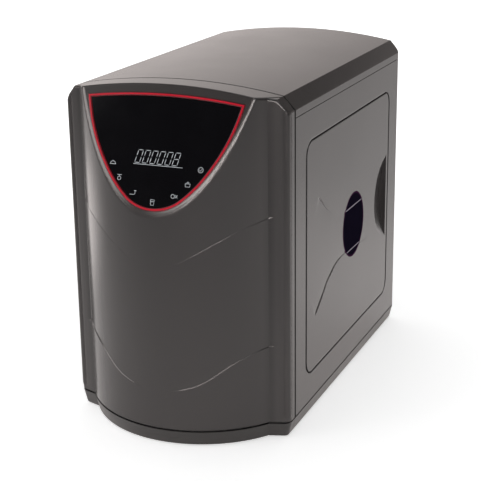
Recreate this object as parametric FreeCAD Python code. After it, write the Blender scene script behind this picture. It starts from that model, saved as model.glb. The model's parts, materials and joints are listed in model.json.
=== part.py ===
"""Box-type reverse-osmosis water purifier, in millimetres.

The case stands on z = 0 with its origin under the middle of its box. X runs to the viewer's right,
Y from the bulged front to the back, Z up. Every piece is its own solid, written to parts/NODE.step.
"""
import FreeCAD, Part
import math
import os

V = FreeCAD.Vector
UP = V(0, 0, 1)
BACK = V(0, 1, 0)
RIGHT = V(1, 0, 0)

# Case: overall sizes
WIDTH = 262.0
SIDE_DEPTH = 389.0          # from the cover seam to the back
BULGE = 80.0                # how far the front swells ahead of the seam
HEIGHT = 393.0
WALL = 2.5
SEAM = 0.8                  # open line between two case pieces

# Plan of the front: bulge arc, wings and rounded corners
BULGE_RADIUS = 134.0
WING_DEPTH = 16.0           # from the seam to the wing's outer end
WING_ANGLE = 19.0
CORNER_RADIUS = 9.0
REAR_RADIUS = 8.0

# Top: a low crown between two chamfers
CROWN = 11.0
CHAMFER_WIDTH = 12.8
CHAMFER_HEIGHT = 14.3
LID_SKIRT = 8.0             # upright edge of the lid under the chamfer
RIDGE_ROUND = 1.5           # along the lid's chamfers
EDGE_ROUND = 3.0            # round the facet and the front's top edge

# Plinth
FOOT_GAP = 1.5              # the plinth's underside above the floor
PLINTH_TOP = 18.8
PLINTH_SEAM = 1.6           # shadow line between the plinth and the case
PLINTH_TAPER = 4.0
PLINTH_ROUND = 3.0          # along the plinth's lower edge
PLINTH_WALL = 3.0
PLINTH_LIP = 8.0            # upstand that locates the panels
FOOT_RADIUS = 11.0
FOOT_INSET = 34.0

# Display facet: a plane leaning back from the lowest point of the cut
FACET_LOW = 264.0
FACET_LEAN = 20.5
DISPLAY_TOP_CORNER = (91.0, 122.0)
DISPLAY_TOP_MIDDLE = 128.3
DISPLAY_SHOULDER = (61.0, 48.0)
DISPLAY_TIP_SIDE = (30.0, 13.0)
DISPLAY_TIP = 3.6
DISPLAY_SIDE_SWELL = 4.1    # how far each upper side arc stands out from its chord
DISPLAY_LOW_SWELL = 2.0     # and each lower one
DISPLAY_POSTS = ((-82.0, 113.0), (82.0, 113.0), (0.0, 9.5))
TRIM_WIDTH = 3.5
TRIM_HEIGHT = 3.3
PANEL_THICKNESS = 2.6
POCKET_DEPTH = 3.0
POCKET_LEDGE = 9.0

# Shield-shaped creases of the front cover, as (x, z) from the middle outwards
LOWER_CREASE = [(0.0, 64.5), (27.0, 68.0), (50.0, 76.0), (80.0, 97.0), (100.0, 107.0), (114.0, 111.0)]
UPPER_CREASE = [(0.0, 205.0), (27.0, 212.0), (45.0, 222.0), (67.0, 235.0), (88.0, 247.0), (114.0, 257.0)]
CREASE_WIDTH = 1.6
CREASE_DEPTH = 0.5

# Side doors, along Y from the seam and up from the floor
DOOR_FRONT = 35.0
DOOR_REAR = 345.0
DOOR_BOTTOM = 54.0
DOOR_TOP = 325.0
DOOR_RADIUS = 17.5
DOOR_GAP = 1.1
DOOR_EDGE = 1.1
REBATE = 4.0                # how far the panel reaches in behind the door
REBATE_WALL = 1.8
DOOR_RIB_INSET = 17.0
SCOOP_RADIUS = 54.9
SCOOP_DEPTH = 8.0
SCOOP_HEIGHT = 188.0
SCOOP_LIP = 8.0             # from the scoop's steep wall to the door's rear edge
SCOOP_WALL = 2.2
BADGE_RADIUS = 40.0
BADGE_PLACE = (202.0, 187.5)
BADGE_THICKNESS = 1.5
DOOR_UPPER_CREASE = [(75.0, 255.0), (113.0, 228.0), (165.0, 210.5), (239.0, 212.0)]
DOOR_LOWER_CREASE = [(63.0, 117.0), (90.0, 134.0), (114.0, 149.0), (160.0, 160.0), (268.0, 153.0)]

# Gooseneck hinges
AXIS_IN = 8.0               # hinge axis behind the outer face
AXIS_FORWARD = 12.0         # hinge axis ahead of the door's front edge
HINGE_HEIGHTS = (96.0, 283.0)
ARM_INNER = 14.8
ARM_THICKNESS = 3.6
ARM_HEIGHT = 12.0
PIN_RADIUS = 2.0
PIN_CLEARANCE = 0.06
LUG_THICKNESS = 4.0
LUG_RADIUS = 5.0

# Catches
CATCH_HEIGHTS = (92.0, 288.0)
CATCH_INSET = 4.6           # from the door's rear edge to the magnet
MAGNET = (4.0, 8.0, 18.0)
STRIKE_THICKNESS = 1.2
RUNNING_GAP = 0.3

# Partition and filters
PARTITION_CLEAR = 9.3       # between the partition and the cartridges
SHEET = 1.5
CARTRIDGE_RADIUS = 43.0
CARTRIDGE_GAP = 14.0        # between neighbouring cartridges
CARTRIDGE_SWING = 6.5       # between the cartridges and the door's scoop
CARTRIDGE_ROOM = -2.0       # front end of the cartridges' room, back from the cover seam
CARTRIDGE_BOTTOM = 58.0
CARTRIDGE_TOP = 292.0
NECK_RADIUS = 20.0
NECK_LENGTH = 22.0
MANIFOLD_HEIGHT = 36.0
SOCKET_CLEARANCE = 0.4
LUG_REACH = 4.0

# Membrane housing and inline filter: places are from the partition to the left and from the seam
MEMBRANE_RADIUS = 36.0
MEMBRANE_PLACE = (77.0, 283.0)
INLINE_RADIUS = 26.0
INLINE_PLACE = (77.0, 212.0)
CLIP_WALL = 2.5
CLIP_GAP = 0.25
LINK_HEIGHT = 52.0          # short tube from the membrane's foot to the inline filter
MEMBRANE_ELBOW = 345.0

# Booster pump
PUMP_PLACE = (77.0, 72.0)
MOTOR_RADIUS = 38.0
MOTOR_LENGTH = 92.0
HEAD_RADIUS = 46.0
HEAD_LENGTH = 56.0
PUMP_AXIS = 72.0

# Tubes and rear connections
TUBE_RADIUS = 3.175
TUBE_BORE = 2.1
BEND_RADIUS = 12.0
HEAD_LINE = 315.0           # height of the manifold's inlet and outlet
HEAD_LINE_IN = 33.0            # from the partition to that line
PRODUCT_LINE = 333.0
VALVE_HEIGHT = 176.0
SWITCH_HEIGHT = 250.0
SWITCH_REACH = 12.0
RESTRICTOR_LENGTH = 19.0
PORT_BORE_DEPTH = 15.0
PORT_PITCH = 27.0
PORT_HEIGHT = 96.0
ELBOW_STEM = 18.0
RECESS_EDGE = 3.0           # from the partition to the bay
RECESS_WIDTH = 116.0
RECESS_LOW = 68.0
RECESS_HIGH = 126.0
RECESS_DEPTH = 24.0
RETURN_WIDTH = 18.0
BACK_SHEET = 2.0
INLET_DEPTH = 26.0          # the mains inlet behind the back

# Stiffening ribs inside the front cover
COVER_RIB_X = 48.0
COVER_RIB_DEPTH = 6.0
COVER_RIB_TOP = 250.0

half = WIDTH / 2
y_front = -(SIDE_DEPTH + BULGE) / 2
y_seam = y_front + BULGE
y_back = y_seam + SIDE_DEPTH
z_chamfer_top = HEIGHT - CROWN
z_chamfer_low = z_chamfer_top - CHAMFER_HEIGHT
z_lid = z_chamfer_low - LID_SKIRT
z_panel_low = PLINTH_TOP + PLINTH_SEAM
z_panel_top = z_lid - SEAM
z_flange = z_panel_top - 5.0
z_floor = FOOT_GAP + PLINTH_WALL
crown_radius = ((half - CHAMFER_WIDTH) ** 2 + CROWN ** 2) / (2 * CROWN)
x_inner = half - WALL
axis_x = half - AXIS_IN
axis_y = y_seam + DOOR_FRONT - AXIS_FORWARD
filter_x = x_inner - SCOOP_DEPTH - SCOOP_WALL - CARTRIDGE_SWING - CARTRIDGE_RADIUS
partition_x = filter_x - CARTRIDGE_RADIUS - PARTITION_CLEAR - SHEET
cartridge_pitch = 2 * CARTRIDGE_RADIUS + CARTRIDGE_GAP
cartridge_spare = SIDE_DEPTH - WALL - INLET_DEPTH - CARTRIDGE_ROOM - 2 * cartridge_pitch - 2 * CARTRIDGE_RADIUS
cartridge_first = CARTRIDGE_ROOM + cartridge_spare * 2 / 3 + CARTRIDGE_RADIUS
head_line_x = partition_x + HEAD_LINE_IN
recess = (partition_x - RECESS_EDGE - RECESS_WIDTH, partition_x - RECESS_EDGE, RECESS_LOW, RECESS_HIGH)
bay_floor = y_back - WALL - RECESS_DEPTH
elbow_y = bay_floor - 16.0


def along(y):
    """A distance back from the cover seam, as a Y coordinate."""
    return y_seam + y


def left_bay(place):
    """A place in the left bay: across from the partition, back from the seam."""
    return partition_x - place[0], along(place[1])


def box(x0, x1, y0, y1, z0, z1):
    return Part.makeBox(x1 - x0, y1 - y0, z1 - z0, V(x0, y0, z0))


def rod(radius, start, direction, length):
    return Part.makeCylinder(radius, length, V(*start), direction)


def tube(outer, inner, start, direction, length):
    return rod(outer, start, direction, length).cut(rod(inner, start, direction, length))


def join(shapes):
    first = shapes[0]
    return first.multiFuse(shapes[1:]).removeSplitter() if len(shapes) > 1 else first


def face_of(edges):
    return Part.Face(Part.Wire(edges))


def polygon(points):
    return Part.makePolygon([V(*p) for p in points] + [V(*points[0])])


def mirrored(shape):
    return shape.mirror(V(0, 0, 0), RIGHT)


def line_meets_circle(point, direction, centre, radius):
    """The meeting point of a line and a circle in a plane that lies nearest to the line's point."""
    px, py = point[0] - centre[0], point[1] - centre[1]
    dx, dy = direction
    b = px * dx + py * dy
    root = math.sqrt(b * b - (px * px + py * py - radius * radius))
    t = min(-b - root, -b + root, key=abs)
    return point[0] + t * dx, point[1] + t * dy


def plan_outline(inset):
    """The case seen from above, drawn in by inset: sides, front corners, wings and the bulge arc."""
    side = half - inset
    lean = math.radians(WING_ANGLE)
    wing = (-math.cos(lean), -math.sin(lean))
    corner = (side, y_seam - WING_DEPTH + inset / math.cos(lean) - inset * math.tan(lean))
    radius = max(CORNER_RADIUS - inset, 0.5)
    reach = radius * math.tan(math.radians(90 - WING_ANGLE) / 2)
    start = (side, corner[1] + reach)
    end = (corner[0] + wing[0] * reach, corner[1] + wing[1] * reach)
    centre = V(side - radius, start[1], 0)
    outward = (V(corner[0], corner[1], 0) - centre).normalize()
    middle = centre + outward * radius
    arc_centre = (0.0, y_front + BULGE_RADIUS)
    hip = line_meets_circle(end, wing, arc_centre, BULGE_RADIUS - inset)
    back = y_back - inset
    rear = max(REAR_RADIUS - inset, 0.5)
    rear_mid = rear * (1 - math.sqrt(0.5))

    def at(x, y):
        return V(x, y, 0)

    return Part.Wire([
        Part.LineSegment(at(-side + rear, back), at(side - rear, back)).toShape(),
        Part.Arc(at(side - rear, back), at(side - rear_mid, back - rear_mid),
                 at(side, back - rear)).toShape(),
        Part.LineSegment(at(side, back - rear), at(*start)).toShape(),
        Part.Arc(at(*start), middle, at(*end)).toShape(),
        Part.LineSegment(at(*end), at(*hip)).toShape(),
        Part.Arc(at(*hip), at(0, y_front + inset), at(-hip[0], hip[1])).toShape(),
        Part.LineSegment(at(-hip[0], hip[1]), at(-end[0], end[1])).toShape(),
        Part.Arc(at(-end[0], end[1]), at(-middle.x, middle.y), at(-start[0], start[1])).toShape(),
        Part.LineSegment(at(-start[0], start[1]), at(-side, back - rear)).toShape(),
        Part.Arc(at(-side, back - rear), at(-side + rear_mid, back - rear_mid),
                 at(-side + rear, back)).toShape(),
    ])


def plan_prism(inset, z0, z1):
    face = Part.Face(plan_outline(inset))
    face.translate(V(0, 0, z0))
    return face.extrude(V(0, 0, z1 - z0))


def crown_prism(inset, y0, y1):
    """The case's cross-section, drawn in by inset and run from y0 to y1."""
    slope = math.hypot(CHAMFER_WIDTH, CHAMFER_HEIGHT)
    across = (-CHAMFER_WIDTH / slope, CHAMFER_HEIGHT / slope)
    foot = (half - inset * across[1], z_chamfer_low + inset * across[0])
    side = half - inset
    along_slope = (side - foot[0]) / across[0]
    low = (side, foot[1] + across[1] * along_slope)
    near_top = (foot[0] + across[0] * slope, foot[1] + across[1] * slope)
    centre = (0.0, HEIGHT - crown_radius)
    top = line_meets_circle(near_top, across, centre, crown_radius - inset)

    def at(x, z):
        return V(x, y0, z)

    edges = [
        Part.LineSegment(at(-side, 0), at(side, 0)).toShape(),
        Part.LineSegment(at(side, 0), at(*low)).toShape(),
        Part.LineSegment(at(*low), at(*top)).toShape(),
        Part.Arc(at(*top), at(0, HEIGHT - inset), at(-top[0], top[1])).toShape(),
        Part.LineSegment(at(-top[0], top[1]), at(-low[0], low[1])).toShape(),
        Part.LineSegment(at(-low[0], low[1]), at(-side, 0)).toShape(),
    ]
    return face_of(edges).extrude(V(0, y1 - y0, 0))


# Display facet, in its own frame: x across, y up the slope, z out of the facet
def facet_frame():
    lean = math.radians(FACET_LEAN)
    place = FreeCAD.Matrix()
    place.A22, place.A32 = math.sin(lean), math.cos(lean)
    place.A23, place.A33 = -math.cos(lean), math.sin(lean)
    place.A14, place.A24, place.A34 = 0.0, y_front, FACET_LOW
    return FreeCAD.Placement(place)


def on_facet(shape):
    placed = shape.copy()
    placed.Placement = facet_frame().multiply(shape.Placement)
    return placed


def swelling_arc(p, q, swell):
    """An arc from p to q that stands out by swell to the right of the way from p to q."""
    length = math.hypot(q[0] - p[0], q[1] - p[1])
    nx, ny = (q[1] - p[1]) / length, -(q[0] - p[0]) / length
    middle = V((p[0] + q[0]) / 2 + nx * swell, (p[1] + q[1]) / 2 + ny * swell, 0)
    return Part.Arc(V(p[0], p[1], 0), middle, V(q[0], q[1], 0)).toShape()


def display_outline():
    """The shield outline of the display: a low arc on top, sides that draw in to a rounded tip."""
    corner, shoulder, tip = DISPLAY_TOP_CORNER, DISPLAY_SHOULDER, DISPLAY_TIP_SIDE
    left = [(-p[0], p[1]) for p in (corner, shoulder, tip)]
    return Part.Wire([
        Part.Arc(V(corner[0], corner[1], 0), V(0, DISPLAY_TOP_MIDDLE, 0), V(*left[0], 0)).toShape(),
        swelling_arc(left[0], left[1], DISPLAY_SIDE_SWELL),
        swelling_arc(left[1], left[2], DISPLAY_LOW_SWELL),
        Part.Arc(V(*left[2], 0), V(0, DISPLAY_TIP, 0), V(tip[0], tip[1], 0)).toShape(),
        swelling_arc(tip, shoulder, DISPLAY_LOW_SWELL),
        swelling_arc(shoulder, corner, DISPLAY_SIDE_SWELL),
    ])


def display_slab(inset, low, high):
    """A slab of the display's outline, drawn in by inset, between two depths from the facet."""
    outline = display_outline()
    if inset:
        outline = outline.makeOffset2D(-inset)
    face = Part.Face(outline)
    face.translate(V(0, 0, low))
    return on_facet(face.extrude(V(0, 0, high - low)))


def facet_block(depth):
    """All that lies ahead of the facet's plane, moved in by depth."""
    block = box(-WIDTH, WIDTH, -HEIGHT, HEIGHT, -depth, HEIGHT)
    return on_facet(block)


def crease_band(points, mirror_x=True):
    """A strip CREASE_WIDTH high along a smooth line through the points, as (across, up) pairs."""
    if mirror_x:
        points = [(-x, z) for x, z in reversed(points[1:])] + points
    low = Part.BSplineCurve()
    low.interpolate([V(x, z - CREASE_WIDTH / 2, 0) for x, z in points])
    high = Part.BSplineCurve()
    high.interpolate([V(x, z + CREASE_WIDTH / 2, 0) for x, z in points])
    ends = [Part.LineSegment(low.EndPoint, high.EndPoint), Part.LineSegment(high.StartPoint, low.StartPoint)]
    return face_of([low.toShape(), ends[0].toShape(), high.toShape(), ends[1].toShape()])


def top_edges(shape, end):
    """The edges round the facet and along the front's top: not upright, and clear of the seam."""
    found = []
    for edge in shape.Edges:
        size = edge.BoundBox
        upright = size.XLength < 0.01 and size.YLength < 0.01
        fore_and_aft = size.XLength < 0.01 and size.ZLength < 0.01
        if size.ZMax > FACET_LOW - 1 and size.YMax < end - 0.01 and not upright and not fore_and_aft:
            found.append(edge)
    return found


def front_cover():
    top = HEIGHT + WALL
    end = y_seam - SEAM / 2
    outer = plan_prism(0, z_panel_low, top).common(crown_prism(0, y_front - WALL, end))
    outer = outer.cut(facet_block(0))
    outer = outer.makeFillet(EDGE_ROUND, top_edges(outer, end))
    inner = plan_prism(WALL, z_panel_low - WALL, top).common(crown_prism(WALL, y_front, end + WALL))
    inner = inner.cut(facet_block(WALL))
    creases = []
    for points in (LOWER_CREASE, UPPER_CREASE):
        band = crease_band(points)
        band.rotate(V(0, 0, 0), RIGHT, 90)
        band.translate(V(0, y_seam - WING_DEPTH + CORNER_RADIUS, 0))
        creases.append(band.extrude(V(0, y_front - y_seam, 0)))
    skin = outer.cut(plan_prism(CREASE_DEPTH, z_panel_low - WALL, top))
    shell = outer.cut(inner)
    seat = display_slab(-WALL, -POCKET_DEPTH - WALL, -WALL / 2).common(outer)
    shell = shell.fuse(seat)
    shell = shell.cut(display_slab(-SEAM / 4, -POCKET_DEPTH, WALL))
    shell = shell.cut(display_slab(POCKET_LEDGE, -POCKET_DEPTH - 2 * WALL, WALL))
    grooves = Part.makeCompound(creases).common(skin)
    shell = shell.cut(grooves)
    for side in (-1, 1):
        wall_y = y_front + BULGE_RADIUS - math.sqrt((BULGE_RADIUS - WALL) ** 2 - COVER_RIB_X ** 2)
        rib = box(side * COVER_RIB_X - WALL / 3, side * COVER_RIB_X + WALL / 3, y_front, wall_y + COVER_RIB_DEPTH,
                  z_panel_low + PLINTH_LIP + 4, COVER_RIB_TOP)
        shell = shell.fuse(rib.common(plan_prism(WALL / 2, 0, HEIGHT)))
    return shell


def display_trim():
    ring = display_slab(0, -POCKET_DEPTH, TRIM_HEIGHT - POCKET_DEPTH)
    return ring.cut(display_slab(TRIM_WIDTH, -POCKET_DEPTH - 1, WALL))


def display_panel():
    return display_slab(TRIM_WIDTH + SEAM / 8, -POCKET_DEPTH, PANEL_THICKNESS - POCKET_DEPTH)


def control_board():
    """The circuit board behind the display, on three posts, with its number display and lamps."""
    face = -POCKET_DEPTH - WALL
    low = face - 8.0
    board = display_slab(2.0, low, low + 1.6)
    top = low + 1.6
    digits = box(-30, 30, 46, 72, top, top + 5.4)
    lamps = [rod(2.0, (13.0 * i, 34.0, top), UP, 4.0) for i in (-2, -1, 0, 1, 2)]
    chips = [box(-34, -16, 84, 98, top, top + 2.0), box(10, 34, 80, 92, top, top + 2.4)]
    posts = [rod(3.0, (x, y, top), UP, face - top) for x, y in DISPLAY_POSTS]
    return join([board] + [on_facet(piece) for piece in [digits] + lamps + chips + posts])


def base_tray():
    """The tapered plinth: a moulded tray whose upright lip locates the panels from inside."""
    def taper(inset, low, high, shift):
        bottom = plan_outline(PLINTH_TAPER + inset)
        bottom.translate(V(0, 0, low))
        top = plan_outline(shift)
        top.translate(V(0, 0, high))
        return Part.makeLoft([bottom, top], True, True)

    body = taper(0, FOOT_GAP, PLINTH_TOP, 0)
    body = body.makeFillet(PLINTH_ROUND, [e for e in body.Edges if e.BoundBox.ZMax < FOOT_GAP + 0.01])
    hollow = taper(PLINTH_WALL, z_floor, PLINTH_TOP + 1, PLINTH_WALL + WALL)
    lip_inset = WALL + RUNNING_GAP
    lip = plan_prism(lip_inset, PLINTH_TOP - 4, PLINTH_TOP + PLINTH_LIP)
    lip = lip.cut(plan_prism(lip_inset + PLINTH_WALL, PLINTH_TOP - 5, PLINTH_TOP + PLINTH_LIP + 1))
    tray = join([body.cut(hollow), lip])
    for x, y in foot_places():
        tray = tray.cut(rod(FOOT_RADIUS + 0.3, (x, y, FOOT_GAP - 1), UP, 2.0))
    return tray


def foot_places():
    rows = (y_seam + FOOT_INSET - 40, y_back - FOOT_INSET)
    return [(x, y) for x in (-half + FOOT_INSET, half - FOOT_INSET) for y in rows]


def feet():
    height = FOOT_GAP + 1.0
    pads = []
    for x, y in foot_places():
        pad = Part.makeCone(FOOT_RADIUS - 1, FOOT_RADIUS, height, V(x, y, 0))
        pads.append(pad.cut(rod(4.0, (x, y, 0), UP, 1.5)))
    return Part.makeCompound(pads)


def door_outline(margin):
    """The door's rounded rectangle in the side's plane, grown by margin, as a face at x = 0."""
    y0, y1 = along(DOOR_FRONT) - margin, along(DOOR_REAR) + margin
    z0, z1 = DOOR_BOTTOM - margin, DOOR_TOP + margin
    r = max(DOOR_RADIUS + margin, 1.0)
    k = r * (1 - math.sqrt(0.5))

    def at(y, z):
        return V(0, y, z)

    return face_of([
        Part.LineSegment(at(y0 + r, z0), at(y1 - r, z0)).toShape(),
        Part.Arc(at(y1 - r, z0), at(y1 - k, z0 + k), at(y1, z0 + r)).toShape(),
        Part.LineSegment(at(y1, z0 + r), at(y1, z1 - r)).toShape(),
        Part.Arc(at(y1, z1 - r), at(y1 - k, z1 - k), at(y1 - r, z1)).toShape(),
        Part.LineSegment(at(y1 - r, z1), at(y0 + r, z1)).toShape(),
        Part.Arc(at(y0 + r, z1), at(y0 + k, z1 - k), at(y0, z1 - r)).toShape(),
        Part.LineSegment(at(y0, z1 - r), at(y0, z0 + r)).toShape(),
        Part.Arc(at(y0, z0 + r), at(y0 + k, z0 + k), at(y0 + r, z0)).toShape(),
    ])


def door_prism(margin, x0, x1):
    face = door_outline(margin)
    face.translate(V(x0, 0, 0))
    return face.extrude(V(x1 - x0, 0, 0))


def hinge_lugs():
    """Lugs moulded on the fixed panel, one above and one below each hinge arm, bored for the pin."""
    lugs = []
    for z in HINGE_HEIGHTS:
        for low in (z - ARM_HEIGHT / 2 - RUNNING_GAP - LUG_THICKNESS, z + ARM_HEIGHT / 2 + RUNNING_GAP):
            eye = rod(LUG_RADIUS, (axis_x, axis_y, low), UP, LUG_THICKNESS)
            web = box(axis_x, x_inner + 0.5, axis_y - LUG_RADIUS, axis_y + LUG_RADIUS, low, low + LUG_THICKNESS)
            lug = eye.fuse(web)
            lugs.append(lug.cut(rod(PIN_RADIUS + PIN_CLEARANCE / 2, (axis_x, axis_y, low - 1), UP, 2 * HEIGHT)))
    return lugs


def catch_box(x0, x1, margin, height):
    """A box round each catch, from x0 to x1, grown along Y by margin: one for each catch height."""
    y1 = along(DOOR_REAR) - CATCH_INSET
    y0 = y1 - MAGNET[1]
    return [box(x0, x1, y0 - margin, y1 + margin, z - height / 2, z + height / 2) for z in CATCH_HEIGHTS]


def catch_holders():
    """Cups on the fixed panel behind the door's rear edge, each with a pocket for a magnet."""
    x1 = x_inner - STRIKE_THICKNESS - RUNNING_GAP
    x0 = x1 - MAGNET[0]
    rear = along(DOOR_REAR)
    cups = catch_box(x0 - 1.5, x1, 1.5, MAGNET[2] + 3)
    pockets = catch_box(x0, x1 + 1, 0, MAGNET[2])
    ties = [box(x0 - 1.5, x_inner - RUNNING_GAP, rear - CATCH_INSET, rear + REBATE, z - 6, z + 6)
            for z in CATCH_HEIGHTS]
    return [cup.fuse(tie).cut(pocket) for cup, tie, pocket in zip(cups, ties, pockets)]


def side_panel():
    """The right side panel: a wall with rounded rear return, door opening, rebate, lugs and catches."""
    y0 = y_seam + SEAM / 2
    zone = box(half - RETURN_WIDTH, half + 1, y0, y_back + 1, 0, HEIGHT)
    wall = plan_prism(0, z_panel_low, z_panel_top).cut(plan_prism(WALL, 0, HEIGHT)).common(zone)
    wall = wall.cut(door_prism(DOOR_GAP, half - 2 * WALL, half + 1))
    shelf = plan_prism(WALL / 2, z_flange - 2, z_flange).cut(plan_prism(WALL + 7, 0, HEIGHT)).common(zone)
    rebate = door_prism(REBATE, x_inner - REBATE_WALL, x_inner + 0.2)
    rebate = rebate.cut(door_prism(DOOR_GAP, x_inner - RUNNING_GAP, half))
    rebate = rebate.cut(door_prism(-REBATE, 0, half))
    hinge_side = along(DOOR_FRONT) + 10
    rebate = rebate.cut(box(0, half, y0, hinge_side, 0, HEIGHT))
    panel = join([wall, shelf, rebate] + hinge_lugs() + catch_holders())
    return panel


def hinge_pins():
    pins = []
    for z in HINGE_HEIGHTS:
        reach = ARM_HEIGHT / 2 + RUNNING_GAP + LUG_THICKNESS
        shank = rod(PIN_RADIUS, (axis_x, axis_y, z - reach - 2), UP, 2 * reach + 2)
        head = rod(PIN_RADIUS + 1.5, (axis_x, axis_y, z + reach), UP, 1.5)
        pins.append(shank.fuse(head))
    return Part.makeCompound(pins)


def hinge_arms():
    """Gooseneck arms: an eye on the pin, a spoke inwards, and a curve round the fixed panel's edge."""
    arms = []
    for z in HINGE_HEIGHTS:
        low = z - ARM_HEIGHT / 2
        start = (axis_x, axis_y, low)
        curve = tube(ARM_INNER + ARM_THICKNESS, ARM_INNER, start, UP, ARM_HEIGHT)
        keep = Part.makeCylinder(2 * ARM_INNER, ARM_HEIGHT, V(*start), UP, 142)
        keep.rotate(V(*start), UP, 68)
        curve = curve.common(keep)
        spoke_way = V(math.cos(math.radians(200)), math.sin(math.radians(200)), 0)
        spoke = box(0, ARM_INNER + ARM_THICKNESS / 2, -2, 2, 0, ARM_HEIGHT)
        spoke.rotate(V(0, 0, 0), UP, 200)
        spoke.translate(V(*start))
        eye = rod(LUG_RADIUS - 0.4, start, UP, ARM_HEIGHT)
        foot = box(x_inner - 2.5, x_inner, axis_y + ARM_INNER + 0.5, axis_y + ARM_INNER + 24, low, low + ARM_HEIGHT)
        arm = join([curve, spoke, eye, foot])
        arm = arm.cut(box(x_inner, half + 40, axis_y, axis_y + 60, low - 1, low + ARM_HEIGHT + 1))
        arms.append(arm.cut(rod(PIN_RADIUS + PIN_CLEARANCE, (axis_x, axis_y, low - 1), UP, ARM_HEIGHT + 2)))
    return Part.makeCompound(arms)


def scoop_tool(grow):
    """The finger scoop as a solid: a shallow ball cap with a straight steep wall at its rear."""
    ball = (SCOOP_RADIUS ** 2 + SCOOP_DEPTH ** 2) / (2 * SCOOP_DEPTH)
    wall_y = along(DOOR_REAR) - SCOOP_LIP
    centre = V(half - SCOOP_DEPTH + ball, wall_y + 5.0, SCOOP_HEIGHT)
    cap = Part.makeSphere(ball + grow, centre)
    keep = box(0, half + 1, wall_y - 2 * SCOOP_RADIUS, wall_y + grow, 0, HEIGHT)
    return cap.common(keep)


def door(with_badge):
    """A side door: plate with softened edge, scoop, badge seat, creases and stiffening rib."""
    plate = door_prism(0, x_inner, half)
    rim = [e for e in plate.Edges if e.BoundBox.XMin > half - 0.01]
    plate = plate.makeFillet(DOOR_EDGE, rim)
    plate = plate.cut(rod(math.hypot(AXIS_IN, AXIS_FORWARD - DOOR_GAP) + 0.5, (axis_x, axis_y, 0), UP, HEIGHT))
    inside = box(0, half - DOOR_EDGE, along(DOOR_FRONT) + 20, along(DOOR_REAR) - 1, 0, HEIGHT)
    shell = scoop_tool(SCOOP_WALL).common(inside)
    rib = door_prism(-DOOR_RIB_INSET, x_inner - 3, x_inner).cut(door_prism(-DOOR_RIB_INSET - 2, 0, half))
    rib = rib.cut(box(0, half, y_seam, along(DOOR_FRONT) + 30, 0, HEIGHT))
    body = join([plate, shell, rib])
    body = body.cut(scoop_tool(0))
    badge_y, badge_z = along(BADGE_PLACE[0]), BADGE_PLACE[1]
    if with_badge:
        backing = rod(BADGE_RADIUS + 5, (x_inner - BADGE_THICKNESS, badge_y, badge_z), RIGHT, BADGE_THICKNESS)
        seat = rod(BADGE_RADIUS + 0.2, (half - BADGE_THICKNESS, badge_y, badge_z), RIGHT, 2 * WALL)
        body = body.fuse(backing).cut(seat)
    for points in (DOOR_UPPER_CREASE, DOOR_LOWER_CREASE):
        band = crease_band([(along(y), z) for y, z in points], mirror_x=False)
        band.rotate(V(0, 0, 0), V(1, 1, 1), 120)
        band.translate(V(half - CREASE_DEPTH, 0, 0))
        body = body.cut(band.extrude(V(WALL, 0, 0)))
    return body


def door_badge():
    disc = rod(BADGE_RADIUS, (half - BADGE_THICKNESS, along(BADGE_PLACE[0]), BADGE_PLACE[1]), RIGHT, BADGE_THICKNESS)
    return disc


def strikes():
    return Part.makeCompound(catch_box(x_inner - STRIKE_THICKNESS, x_inner, 0, MAGNET[2]))


def magnets():
    x1 = x_inner - STRIKE_THICKNESS - RUNNING_GAP
    return Part.makeCompound(catch_box(x1 - MAGNET[0], x1, 0, MAGNET[2]))


def top_lid():
    """The lid: a crowned shell whose inner lip drops inside the panels and rests on their shelf."""
    y0 = y_seam + SEAM / 2
    crown = crown_prism(0, y0, y_back + 1)
    ridges = [e for e in crown.Edges if e.BoundBox.YLength > 1 and e.BoundBox.ZMin > z_lid]
    outer = plan_prism(0, z_lid, HEIGHT + 1).common(crown.makeFillet(RIDGE_ROUND, ridges))
    rear = y_back - WALL
    inner = plan_prism(WALL, 0, HEIGHT + 1).common(crown_prism(WALL, y0 + WALL, rear))
    lip_out = WALL + 0.5
    lip = plan_prism(lip_out, z_flange + RUNNING_GAP, z_lid + 3).cut(plan_prism(lip_out + 1.8, 0, HEIGHT))
    lip = lip.common(box(-half, half, y0 + WALL, y_back, 0, HEIGHT))
    bridge = plan_prism(WALL / 2, z_lid, z_lid + 3).cut(plan_prism(lip_out + 1.8, 0, HEIGHT))
    bridge = bridge.common(box(-half, half, y0 + WALL / 2, y_back, 0, HEIGHT))
    ribs = [box(-half + 12, half - 12, along(y), along(y) + 2, HEIGHT - 30, HEIGHT) for y in (100, 195, 290)]
    ribs = [r.common(crown_prism(WALL / 2, y0, rear)).cut(box(-half, half, y0, rear, 0, HEIGHT - 20)) for r in ribs]
    return join([outer.cut(inner), lip, bridge] + ribs)


def back_panel():
    """The back: a plate inside the side panels' returns, with a recessed bay for the connections."""
    y1 = y_back - WALL
    y0 = y1 - BACK_SHEET
    reach = half - RETURN_WIDTH + 8
    low = PLINTH_TOP + PLINTH_LIP + SEAM
    plate = box(-reach, reach, y0, y1, low, z_flange - 2 - SEAM)
    x0, x1, z0, z1 = recess
    tub = box(x0 - BACK_SHEET, x1 + BACK_SHEET, y1 - RECESS_DEPTH - BACK_SHEET, y1, z0 - BACK_SHEET, z1 + BACK_SHEET)
    panel = join([plate, tub]).cut(box(x0, x1, bay_floor, y1 + 1, z0, z1))
    for x in port_places():
        panel = panel.cut(rod(7.2, (x, bay_floor - 2 * BACK_SHEET, PORT_HEIGHT), BACK, 3 * BACK_SHEET))
    px0, px1, pz0, pz1 = inlet_window()
    panel = panel.cut(box(px0, px1, y0 - 1, y1 + 1, pz0, pz1))
    for row in range(9):
        for side in (-1, 1):
            z = 236 + row * 10
            slot = box(side * 48 - 32, side * 48 + 32, y0 - 1, y1 + 1, z, z + 4)
            panel = panel.cut(slot)
    return panel


def inlet_window():
    return 48.0, 78.0, 84.0, 108.0


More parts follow.
